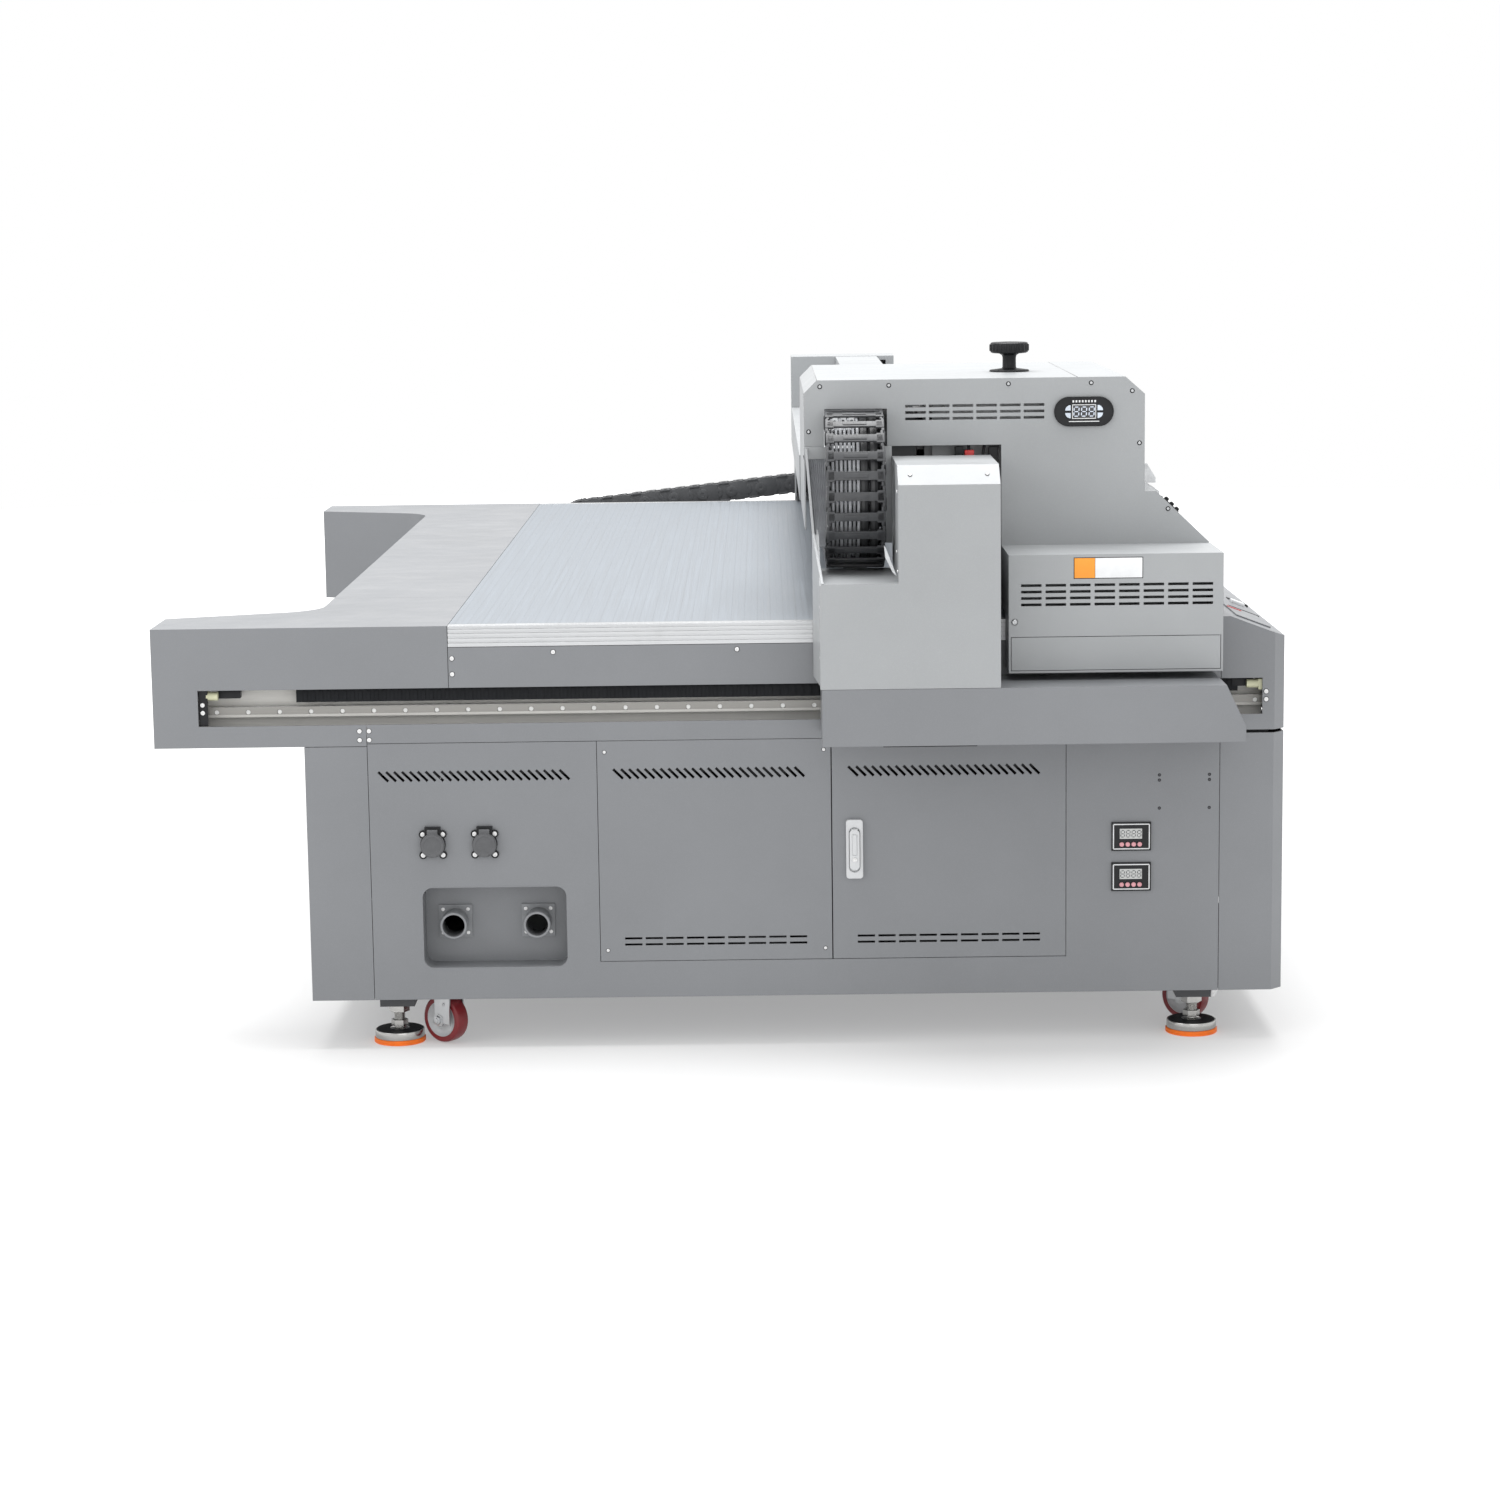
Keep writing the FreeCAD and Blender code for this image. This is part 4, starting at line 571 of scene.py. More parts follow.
def cap_chain():
    x = 1336.5
    bend, high, low = 95, 1189.5, 934.5
    runs = [
        [at(x, 127, high), at(x, bend, high)],
        half_turn(at(x, bend, (high + low) / 2), NEAR, mm((high - low) / 2)),
        [at(x, bend, low), at(x, 690, low)],
    ]
    chain_links("cap_chain_links", "gantry", runs, RIGHT, mm(111), mm(45), mm(33.5),
                ("carriage_cable_chain",))
    chain_cables("cap_chain_black_cables", "cable_black", "gantry", runs, RIGHT,
                 [(16, -2, 8.0), (35, -3, 9.0)])
    chain_cables("cap_chain_grey_cables", "cable_grey", "gantry", runs, RIGHT,
                 [(-43 + 8 * step, (-5, 1)[step % 2], 2.9) for step in range(7)])


def side_chain():
    y = 2918
    bend, high, low = 690, 794, 571
    runs = [
        [at(1296, y, 854), at(1240, y, 854)],
        [at(1240, y, 854), at(bend, y, high)],
        half_turn(at(bend, y, (high + low) / 2), LEFT, mm((high - low) / 2)),
        [at(bend, y, low), at(1070, y, low)],
    ]
    chain_links("side_chain_links", "side_chain", runs, NEAR, mm(57), mm(51), mm(40),
                ("gantry_cable_chain",))
    chain_cables("side_chain_cables", "cable_black", "side_chain", runs, NEAR,
                 [(-16, -4, 7.0), (0, 4, 6.0), (14, -3, 7.5)])


def cap_apron():
    """Flat run of wires beside the chain, its dark edge and the cheek that guards it."""
    strands = Form()
    edge = []
    for step in range(10):
        top = 1247.0 + step * 4.2
        low = 1264.0 + step * 2.6
        path = []
        for part in range(13):
            share = part / 12
            x = top + (low - top) * share ** 0.7
            path.append(at(x, 112 + 16 * math.sin(math.pi * share), 1126 - 176 * share))
        strands.tube(path, mm(2.3), 8)
        if step == 0:
            edge = [spot + Vector((-0.004, -0.004, 0)) for spot in path]
    strands.done("cap_apron_wires", "apron_grey", "gantry")
    dark = Form()
    dark.tube(edge, mm(3.0), 8)
    dark.done("cap_apron_edge", "cable_black", "gantry")
    cheek = Form()
    head, bend, end = at(1243, 97, 1138), at(1254, -8, 985), at(1267, -189, 909)
    wide = Vector((0.005, 0, 0))
    cheek.slab([bend, head, head + wide, bend + wide], Vector((0, -0.82, 0.57)), mm(3))
    cheek.slab([bend, end, end + wide, bend + wide], Vector((0, -0.39, 0.92)), mm(2.5))
    cheek.slab([end, bend, at(1254, -8, 717), at(1267, -189, 717)],
               Vector((0.997, 0.07, 0)), mm(2))
    cheek.slab([bend, end, at(1267, -8, 985)], Vector((0, 0.39, -0.92)), mm(2))
    cheek.done("cap_cheek", "housing_paint", "gantry")
    blocks("chain_back_plate", "housing_paint", "gantry", 0.0005,
           [(1389, 97, 958, 1408.8, 99, 1142), (1242.6, 97, 1119, 1284, 99.4, 1142)])
    bracket = Form()
    bracket.slab([at(1385, -120, 974), at(1389, -120, 968), at(1407, -150, 920),
                  at(1400, -150, 926), at(1387, -130, 952)], Vector(NEAR), mm(2))
    bracket.done("chain_bracket", "connector_white", "gantry")


cap_chain()
cap_apron()
side_chain()


# ---------------------------------------------------------------- displays and keys

def eights(name, count, centre, height, material, body):
    """A row of seven-segment eights that face the near side, each segment a hexagon."""
    form = Form()
    wide = height * 0.54
    bar = height * 0.11
    step = height * 0.84
    start = -step * (count - 1) / 2
    segments = (((0, 1), (1, 1)), ((1, 0.5), (1, 1)), ((1, 0), (1, 0.5)), ((0, 0), (1, 0)),
                ((0, 0), (0, 0.5)), ((0, 0.5), (0, 1)), ((0, 0.5), (1, 0.5)))
    for index in range(count):
        for (u0, v0), (u1, v1) in segments:
            first = Vector(((u0 - 0.5) * wide, (v0 - 0.5) * height))
            second = Vector(((u1 - 0.5) * wide, (v1 - 0.5) * height))
            along = (second - first).normalized()
            first += along * bar * 0.55
            second -= along * bar * 0.55
            aside = Vector((-along.y, along.x)) * bar * 0.5
            nib = along * bar * 0.5
            outline = []
            for spot in (first, first + nib + aside, second - nib + aside, second,
                         second - nib - aside, first + nib - aside):
                lean = spot.y * 0.05
                outline.append(centre + Vector((start + step * index + spot.x + lean, 0.0,
                                                spot.y)))
            form.slab(outline, Vector(NEAR), 0.0003)
    form.done(name, material, body)


def temperature_display():
    x, z = 1774, 1203
    blocks("display_window", "window_dark", "gantry", 0.0003,
           [(x - 21.5, 94.6, z - 12.5, x + 21.5, 95.9, z + 12.5)])
    eights("display_digits", 3, at(x, 94.5, z), 0.0172, "digit_white", "gantry")
    rim = Form()
    outer, inner = [], []
    for side, start in ((1, -90), (-1, 90)):
        for step in range(17):
            angle = math.radians(start + 180 * step / 16)
            for ring, radius in ((outer, 27.4), (inner, 25.8)):
                ring.append(at(x + side * 28.5 + radius * math.cos(angle), 94.0,
                               z + radius * math.sin(angle)))
    lift = Vector((0, -0.0009, 0))
    rings = [[rim.bm.verts.new(p) for p in ring]
             for ring in (outer, [p + lift for p in outer], [p + lift for p in inner], inner)]
    for first, second in zip(rings, rings[1:] + rings[:1]):
        for index in range(len(outer)):
            after = (index + 1) % len(outer)
            rim.bm.faces.new((first[index], first[after], second[after], second[index]))
    rim.done("display_rim", "black_plastic", "gantry")
    lines = [(x0, 93.2, z0, x1, 94.2, z1)
             for x0, z0, x1, z1 in ((1751.2, 1215.2, 1796.8, 1216.6),
                                    (1751.2, 1189.4, 1796.8, 1190.8),
                                    (1751.2, 1190.8, 1752.6, 1215.2),
                                    (1795.4, 1190.8, 1796.8, 1215.2),
                                    (1745.0, 1183.6, 1803.0, 1185.2))]
    starts = [1752.0 + step * 5.9 for step in range(8)]
    lines += [(start, 93.4, 1220.4, start + 3.2, 94.2, 1224.6) for start in starts]
    blocks("display_marks", "sticker_white", "gantry", 0.0003, lines)


def meter_faces():
    for level, low in (("upper", 373), ("lower", 295)):
        blocks(f"meter_window_{level}", "lcd_grey", "base", 0.0004,
               [(1834.4, -4.6, low + 22.9, 1877.1, -3.1, low + 42.6)])
        eights(f"meter_digits_{level}", 4, at(1855.8, -4.65, low + 32.8), 0.0125,
               "digit_dark", "base")
        blocks(f"meter_rim_{level}", "connector_white", "base", 0.0004,
               [(x0 - 0.5, -5.9, low + z0 - 0.5, x1 + 0.5, -4.9, low + z1 + 0.5)
                for x0, x1, z0, z1 in ((1823, 1890, 50.6, 51.8), (1823, 1890, 3.2, 4.4),
                                       (1821.8, 1823, 4.4, 50.6), (1890, 1891.2, 4.4, 50.6))])
        dots = Form()
        for step in range(4):
            spot = at(1819 + 19.2 + 11.4 * step, -6.5, low + 12.5)
            dots.lathe([(3.9, -0.2), (3.8, 0.3), (2.6, 0.6), (0.0, 0.7)], spot, NEAR, 16)
        dots.done(f"meter_key_caps_{level}", "pink_keys", f"{level}_pad")


temperature_display()
meter_faces()


# ---------------------------------------------------------------- fasteners

def screws(name, body, places, radius, height=1.8, material="steel_screws", rim=0.9):
    """Screw heads, each in a thin black ring that paints the shadow round the head."""
    form = Form()
    rings = Form()
    for spot, axis in places:
        screw(form, spot, axis, radius, height)
        # painted shadow: a flat black ring round each head
        rings.lathe([(radius, -0.3), (radius + rim, -0.3), (radius + rim, 0.2), (radius, 0.3)],
                    spot, axis, 16, ring=True)
    form.done(name, material, body)
    rings.done(f"{name}_rims", "rack_black", body)


screws("cap_screws", "gantry",
       [(at(x, CAP_FACE, z), NEAR)
        for x, z in ((1273, 1256), (1631, 1257), (1788, 1257), (1866, 1241), (1880, 1142),
                     (1935, 1016), (1251, 1171), (1404, 1257))], 3.0, 1.8,
       "bare_aluminium", 1.6)
screws("drive_housing_screws", "gantry",
       [(at(x, -166, 1106.6), (0, -0.55, 0.835)) for x in (1432, 1573)]
       + [(at(1265.2, -165, z), (-0.997, -0.07, 0)) for z in (866, 772)]
       + [(at(1409, y, z), LEFT) for y, z in ((-150, 1075), (-120, 962), (-165, 930))], 3.0)
screws("bed_cover_screws", "base",
       [(at(x, 0, z), NEAR) for x, z in ((762, 768), (1110, 769), (570, 758), (570, 728))], 4.3)
screws("window_rivets", "base",
       [(at(x, 0, z), NEAR) for x in (391, 409) for z in (604, 621)], 4.3, 1.4)
screws("buffer_bracket_bolts", "base",
       [(at(x, y, z), axis)
        for x, near, far, low in ((94, 4.6, 2762.4, 659), (2111, 0, BODY_DEEP, 661))
        for z in (low, low + 15) for y, axis in ((near, NEAR), (far, FAR))], 4.4, 2.0)
screws("column_plugs", "base",
       [(at(x, 0, z), NEAR) for x in (1910, 2005) for z in (454, 508, 518)], 2.2, 0.8,
       "black_oxide_screws")
screws("panel_screws", "base",
       [(at(x, 0, z), NEAR) for x in (855, 1272) for z in (190, 575)], 3.2, 1.2)
across_end = (60, 700, 1383, 2067, 2707)
screws("far_panel_screws", "base",
       [(at(x, BODY_DEEP, z), FAR) for x in (430, 900, 1370, 1840, 2000) for z in (120, 575)]
       + [(at(285, y, z), LEFT) for y in across_end for z in (120, 570)]
       + [(at(BODY_WIDE, y, z), RIGHT) for y in across_end for z in (120, 575)], 3.6, 1.4)
screws("far_housing_screws", "gantry",
       [(at(x, FAR_FACE, z), FAR) for x in (1270, 1575, 1640, 2000) for z in (732, 930)], 3.6)
screws("skirt_screws", "gantry",
       [(at(x, FAR_FACE, 628), FAR) for x in (1300, 1660, 2000)], 3.2, 1.2)


# ---------------------------------------------------------------- sockets, ducts, locks

def socket_details():
    for side, mid in (("left", 525), ("right", 624)):
        plate = Form()
        four_screws(plate, mid, -5, 401, 19, 20, 4.6, 1.6)
        plate.done(f"socket_screws_{side}", "steel_screws", "base")
        collar = Form()
        collar.lathe([(22.0, 0.0), (22.0, 0.3), (20.6, 0.4), (14.2, 0.4), (13.2, 0.2),
                      (13.2, 0.0)], at(mid, -8, 401), NEAR, 32, ring=True)
        collar.done(f"socket_collar_{side}", "black_plastic", "base")
        lid = Form()
        lid.lathe([(21.4, -0.2), (21.4, 0.6), (20.4, 1.3), (17.0, 1.3), (16.0, 0.5),
                   (10.5, 0.5), (9.5, 1.1), (0.0, 1.3)], at(mid, -17, 401), NEAR, 40)
        lid.box(at(mid - 7, -19.4, 378.5), at(mid + 7, -13, 383.5), 0.0015)
        lid.done(f"socket_lid_face_{side}", "lid_grey", f"lid_{side}")


def duct_details():
    form = Form()
    shadow_rings = Form()
    lining = Form()
    for mid in (559, 719):
        four_screws(form, mid, 56, 240, 24, 23, 3.8, 1.8)
        mouth = at(mid, 8, 240)
        shadow_rings.lathe([(24.9, 6.0), (25.9, 5.2), (26.2, 3.6), (25.4, 1.2), (24.0, -0.2),
                    (22.4, -0.2), (21.6, 0.8), (21.6, 6.0)], mouth, FAR, 40, ring=True)
        lining.lathe([(21.4, 1.0), (21.4, 50.0), (20.8, 49.0), (20.8, 2.0)], mouth, FAR, 40,
                     ring=True)
    form.done("duct_flange_screws", "steel_screws", "base")
    shadow_rings.done("duct_rims", "duct_grey", "base")
    lining.done("duct_linings", "duct_lining", "base")


def cam_lock(form, spot, radius):
    """A round lock face with a sunk middle, facing the near side."""
    form.lathe([(radius, 0.0), (radius, 1.4), (radius * 0.8, 2.2), (radius * 0.62, 2.2),
                (radius * 0.56, 1.2), (0.0, 1.2)], spot, NEAR, 24)


def locks():
    form = Form()
    cam_lock(form, at(1628, INK_FACE, 825), 5.0)
    form.box(at(1627.4, -96.6, 822.4), at(1628.6, -95.8, 827.6), 0.0002)
    form.done("ink_cabinet_lock", "bare_aluminium", "gantry")
    keyed = Form()
    cam_lock(keyed, at(1329, -13, 363), 4.8)
    keyed.box(at(1328.3, -14.6, 360.5), at(1329.7, -13.4, 365.5), 0.0002)
    keyed.done("lever_lock", "steel_screws", "lever")
    blocks("lever_ridge", "handle_grey", "lever", 0.0013,
           [(1324.5, -14.2, 372, 1333.5, -12.6, 412)])


def stickers():
    front, back = INK_FACE - 0.5, INK_FACE + 0.1
    blocks("blank_sticker_orange", "sticker_orange", "gantry", 0.0001,
           [(1739, front, 906, 1777, back, 943)])
    blocks("blank_sticker_white", "sticker_white", "gantry", 0.0001,
           [(1777.6, front, 906, 1865, back, 943)])
    blocks("sticker_border", "black_plastic", "gantry", 0.0001,
           [(1737.6, INK_FACE - 0.2, 904.6, 1866.4, INK_FACE + 0.2, 944.4)])


socket_details()
duct_details()
locks()
stickers()


# ---------------------------------------------------------------- knob, feet, casters

def knob():
    x, y = 1652, 370
    form = Form()
    form.lathe([(39.0, 0.2), (39.3, 1.8), (38.0, 3.6), (30.0, 4.6), (15.0, 6.5), (13.4, 9.0),
                (13.2, 27.0), (14.5, 32.0), (20.0, 35.4), (33.0, 36.4), (36.6, 38.0),
                (37.4, 41.0), (37.4, 52.6), (36.6, 55.8), (34.0, 57.4), (20.0, 58.0),
                (16.0, 56.8), (0.0, 56.6)], at(x, y, 1268), UP, 48)
    ridges, grip = 24, 37.2
    for cos, sin in circle(ridges):
        spot = at(x + grip * cos, y + grip * sin, 1315)
        form.lathe(mirrored([(1.5, -6.4), (1.9, -5.6)]), spot, UP, 6)
    form.done("lock_knob_turned", "black_plastic", "knob", replace=("lock_knob",))


def feet():
    form = Form()
    pads = Form()
    dark = Form()
    for x in (443, 1983):
        for y in (75, BODY_DEEP - 75):
            base = at(x, y, 0)
            form.lathe([(46.0, 8.5), (47.6, 9.6), (48.0, 11.0), (48.0, 23.2), (47.4, 24.6),
                        (46.2, 25.0), (20.0, 25.6), (15.0, 28.0), (13.6, 29.4), (12.8, 33.4),
                        (10.0, 33.6), (10.0, 75.0)], base, UP, 40)
            for thread in range(9):
                low = 45.4 + thread * 1.6
                form.lathe([(9.8, low), (10.8, low + 0.5), (9.8, low + 1.0)], base, UP, 20)
            dark.lathe([(17.5, 25.4), (17.5, 26.2), (44.6, 25.7), (45.4, 25.0)], base, UP, 40,
                       ring=True)
            for low, high, wide in ((30.2, 44.2, 16.5), (58.4, 74.8, 20.0)):
                form.lathe([(wide - 2.6, low), (wide, low + 1.2), (wide, high - 1.2),
                            (wide - 2.6, high)], base, UP, 6)
            pads.lathe([(49.0, 0.0), (50.0, 1.2), (50.0, 3.4), (49.2, 4.2), (50.0, 5.0),
                        (50.0, 8.2), (48.6, 9.4), (40.0, 9.6)], base, UP, 48)
    form.done("levelling_feet_turned", "plated_feet", "base", replace=("levelling_feet",))
    dark.done("levelling_foot_discs", "rack_black", "base")
    pads.done("levelling_pads_moulded", "orange_pads", "base", replace=("levelling_pads",))


WHEEL_HIGH = 48         # height of the wheels' centres
TRAIL = 20              # distance from a swivel's axis to its wheel's centre

# place of each swivel and the direction in which its wheel trails
CASTERS = {
    "near_left": (551, 46, -0.8, 0.6), "near_right": (1968, 187, 0.8, -0.6),
    "far_left": (551, 2721, -0.8, -0.6), "far_right": (1968, 2580, 0.8, 0.6),
}


def casters():
    for name, (x, y, aim_x, aim_y) in CASTERS.items():
        axle = Vector((-aim_y, aim_x, 0))
        aim = Vector((aim_x, aim_y, 0))
        centre = at(x + TRAIL * aim_x, y + TRAIL * aim_y, WHEEL_HIGH)
        tread = Form()
        tread.lathe(mirrored([(34.0, -14.6), (42.0, -15.2), (44.8, -13.4), (46.0, -8.6)]),
                    centre, axle, 48, ring=True)
        tread.done(f"caster_tread_{name}", "red_polyurethane", f"wheel_{name}",
                   replace=(f"caster_wheel_{name}",))
        hub = Form()
        hub.lathe(mirrored([(6.2, -15.8), (11.5, -15.8), (12.5, -14.4), (13.0, -9.6),
                            (26.0, -8.6), (31.0, -11.5), (34.4, -15.4)]), centre, axle, 40)
        for cos, sin in circle(5):
            ray = aim * cos + Vector(UP) * sin
            for side in (-1, 1):
                hub.lathe([(2.6, 0.0), (2.6, 1.4), (1.8, 1.9), (0.0, 1.9)],
                          centre + ray * mm(20) + axle * (side * mm(8.8)), axle * side, 10)
        hub.done(f"caster_hub_{name}", "hub_grey", f"wheel_{name}")
        race = Form()
        race.lathe([(26.0, -3.4), (28.2, -2.0), (28.2, 1.5), (27.0, 3.0), (22.0, 3.6)],
                   at(x, y, 99), UP, 40)
        for side in (-1, 1):
            spot = centre + axle * (side * mm(22))
            race.lathe([(12.2, 0.0), (12.2, 1.2), (9.2, 1.6), (9.2, 2.2), (8.8, 6.4),
                        (5.8, 6.8), (5.8, 8.6), (0.0, 9.0)], spot, axle * side, 6)
            arm = spot - aim * mm(14) + Vector(UP) * mm(32)
            screw(race, arm, axle * side, 3.2, 1.6)
        race.done(f"caster_race_{name}", "zinc_forks", f"fork_{name}")


knob()
feet()
casters()


# ---------------------------------------------------------------- guides

def guide_details():
    """Parts in the rail windows; depths are counted inwards from each side of the body."""
    rail_top_highlight = Form()
    ends = Form()
    foot = Form()
    for axis in (NEAR, FAR):
        def put(form, x0, x1, outer, inner, z0, z1, round_by):
            if axis == FAR:
                outer, inner = BODY_DEEP - inner, BODY_DEEP - outer
            form.box(at(x0, outer, z0), at(x1, inner, z1), round_by)

        put(foot, 92, 2116, 34.1, 34.8, 645.4, 650.6, 0.0002)
        # painted highlight: a thin bright strip along each rail's top edge
        put(rail_top_highlight, 92, 2116, 35, 51.5, 664.8, 665.3, 0.0001)
        put(ends, 86.4, 104, 4.6, 7, 633.6, 701.4, 0.0006)
        for x in (78, 2119):
            put(ends, x, x + 9, 32, 51.8, 642, 668, 0.0012)
            screw(ends, at(x + 4.5, 32 if axis == NEAR else BODY_DEEP - 32, 655), axis, 3.0, 1.6)
        for x in (122, 2048):
            put(ends, x, x + 42, 20, 40, 684, 699, 0.0015)
    rail_top_highlight.done("guide_top_highlights", "bright_bolts", "base")
    foot.done("guide_foot_strips", "rail_beam_steel", "base")
    ends.done("guide_end_blocks", "black_plastic", "base")
    studs = Form()
    for x in range(150, 150 + 17 * 120, 120):
        for y, axis in ((52, NEAR), (BODY_DEEP - 52, FAR)):
            screw(studs, at(x, y, 612), axis, 4.2, 2.6)
    studs.done("guide_beam_bolts", "black_oxide_screws", "base")
    teeth, pitch = 118, 15
    blocks("drive_rack_teeth", "rack_black", "base", 0.0004,
           [(x, low, 678, x + 7, high, 697)
            for low, high in ((20.4, 22), (BODY_DEEP - 22, BODY_DEEP - 20.4))
            for x in range(284, 284 + teeth * pitch, pitch)])


def gantry_details():
    belt = Form()
    for x in (1459, 1466):
        belt.box(at(x, 185, 1086), at(x + 2.5, 2540, 1101), 0.0003)
    for y in (185, 2540):
        belt.lathe(mirrored([(15.0, -9.0), (15.0, -8.0), (11.5, -7.6)]),
                   at(1472, y, 1093.5), UP, 24)
    belt.done("carriage_drive_belt", "cable_black", "gantry")
    blocks("encoder_strip", "steel_screws", "gantry", 0.0001,
           [(1457.2, 190, 1174, 1458.2, 2545, 1186)])
    bolts = Form()
    for step in range(39):
        for z in (1040, 1150):
            screw(bolts, at(1472, 200 + step * 60, z), RIGHT, 3.6, 0.9)
    bolts.done("carriage_rail_bolts", "black_oxide_screws", "gantry")
    blocks("cap_red_connectors", "signal_red", "gantry", 0.0015,
           [(1548, 106, 1112, 1566, 124, 1132), (1572, 108, 1100, 1592, 122, 1118)])
    dark = Form()
    dark.box(at(1530, 106, 1118), at(1546, 126, 1139), 0.0015)
    dark.box(at(1594, 110, 1090), at(1612, 130, 1138), 0.0018)
    dark.tube([at(1556, 112, 1131), at(1556, 118, 1150), at(1566, 128, 1165),
               at(1580, 132, 1176)], 0.003, 8)
    dark.tube([at(1582, 114, 1117), at(1586, 118, 1140), at(1594, 126, 1160)], 0.0028, 8)
    dark.done("cap_dark_connectors", "black_plastic", "gantry")
    blocks("cap_top_seam", "window_dark", "gantry", 0.0001,
           [(1761.4, 104, 1267.6, 1763.0, 769, 1268.5),
            (1266.8, 104, 1267.5, 1268.0, 769, 1268.4)])
    strip = Form()
    strip.box(at(1380, -150, 601), at(1555, -60, 608.5), 0.0015)
    strip.box(at(1392, -136, 599), at(1543, -74, 601.5), 0.0006)
    strip.done("skirt_under_strip", "black_plastic", "gantry")


WING_OUT = (0.7, 0, 0.714)


def on_wing(x, y):
    """A point on the cap's sloped side, which falls one to one."""
    return at(x, y, 2962 - x)


def wing_details():
    """Sensor covers and small connectors on the cap's sloped side."""
    box = Form()
    box.slab([at(x, 330, z) for x, z in ((1890, 1090), (1917, 1088), (1934, 1060),
                                         (1934, 1050), (1890, 1050))], Vector(NEAR), mm(30))
    box.slab([at(x, 326, z) for x, z in ((1890, 1052), (1914, 1052), (1941, 1034),
                                         (1941, 1022), (1890, 1034))], Vector(NEAR), mm(34))
    box.done("wing_sensor_covers", "connector_white", "gantry")
    glands = Form()
    for x, y in ((1950, 300), (1960, 300), (1970, 300), (1955, 350)):
        glands.lathe([(4.4, -2.0), (5.2, 0.8), (5.2, 3.0), (3.8, 4.0), (3.8, 7.0), (5.0, 8.0),
                      (5.0, 10.0), (3.2, 12.0), (0.0, 12.4)], on_wing(x, y), WING_OUT, 16)
    place_box(glands, at(1963, 306, 1003), Vector((0.019, 0.012, 0.0045)), 0.0012,
              Matrix.Rotation(math.radians(44), 3, "Y"))
    glands.done("wing_cable_glands", "black_plastic", "gantry")
    studs = Form()
    for x in (1931, 1943):
        studs.lathe([(3.2, -2.0), (3.2, 5.0), (2.4, 6.2), (0.0, 6.4)], on_wing(x, 300),
                    WING_OUT, 12)
    studs.done("wing_studs", "black_oxide_screws", "gantry")


CONSOLE_FALL = 40.0 / 105.0
CONSOLE_OUT = Vector((0.356, 0.0, 0.934))


def slope_point(x, y, lift=0.0):
    return at(x, y, 820 - (x - 2043) * CONSOLE_FALL) + CONSOLE_OUT * mm(lift)


def on_slope(form, x0, x1, y0, y1, low, high, round_by):
    """A block that lies on the console's slope."""
    middle = (slope_point(x0, y0, low) + slope_point(x1, y1, high)) / 2
    length = (slope_point(x1, y0) - slope_point(x0, y0)).length
    half = Vector((length / 2, mm(y1 - y0) / 2, mm(high - low) / 2))
    place_box(form, middle, half, round_by, Matrix.Rotation(math.atan(CONSOLE_FALL), 3, "Y"))


def console_details():
    for name, material, rows in (
            ("console_white_block", "connector_white",
             [(2093, 2119, 370, 400, 2.4, 9, 0.0015)]),
            ("console_dark_strips", "black_plastic",
             [(2072, 2132, 250, 262, -0.2, 3.4, 0.0008),
              (2096, 2137, 440, 470, -0.2, 4.4, 0.0008)]),
            ("console_red_line", "signal_red", [(2063, 2091, 210, 216, 2.3, 4.0, 0.0006)])):
        form = Form()
        for row in rows:
            on_slope(form, *row)
        form.done(name, material, "base")


guide_details()
gantry_details()
wing_details()
console_details()


# ---------------------------------------------------------------- carriage and heads

def carriage_fans():
    fans = Form()
    grills = Form()
    for y in (270, 420, 570):
        centre = at(1680, y, 1225)
        fans.lathe([(52.0, 0.0), (52.0, 3.0), (50.0, 4.0), (46.0, 4.0), (45.0, 1.0)], centre,
                   UP, 36, ring=True)
        for radius in (12, 22, 32, 42):
            grills.lathe([(radius - 1.0, 3.2), (radius, 4.4), (radius + 1.0, 3.2)], centre, UP,
                         36, ring=True)
        for step in range(4):
            angle = math.radians(45 + 90 * step)
            way = Vector((math.cos(angle), math.sin(angle), 0))
            lift = Vector((0, 0, mm(3.4)))
            grills.tube([centre + way * mm(8) + lift, centre + way * mm(50) + lift], 0.0012, 6)
        grills.lathe([(9.0, 1.0), (9.0, 4.0), (7.5, 5.0), (0.0, 5.0)], centre, UP, 20)
    fans.done("carriage_fan_rings", "black_plastic", "carriage")
    grills.done("carriage_fan_grills", "steel_screws", "carriage")


def carriage_details():
    blocks("carriage_side_vents", "window_dark", "carriage", 0.0004,
           [(1867.8, y, z, 1868.8, y + 28, z + 6)
            for y in range(190, 190 + 12 * 40, 40) for z in (1090, 1106)])
    marks = [(at(1868, y, z), RIGHT) for y in (165, 425, 685) for z in (975, 1210)]
    marks += [(at(x, y, z), axis) for x in (1510, 1850) for z in (975, 1210)
              for y, axis in ((700, FAR), (150, NEAR))]
    screws("carriage_screws", "carriage", marks, 3.4, 1.4)
    blocks("carriage_status_plate", "black_plastic", "carriage", 0.001,
           [(1560, 700, 1150, 1700, 702.5, 1190)])
    lights = Form()
    for x in (1580, 1610, 1640, 1670):
        lights.lathe([(3.0, 0.0), (3.0, 1.0), (1.8, 2.2), (0.0, 2.4)], at(x, 702.4, 1170), FAR,
                     14)
    lights.done("carriage_status_lamps", "digit_white", "carriage")


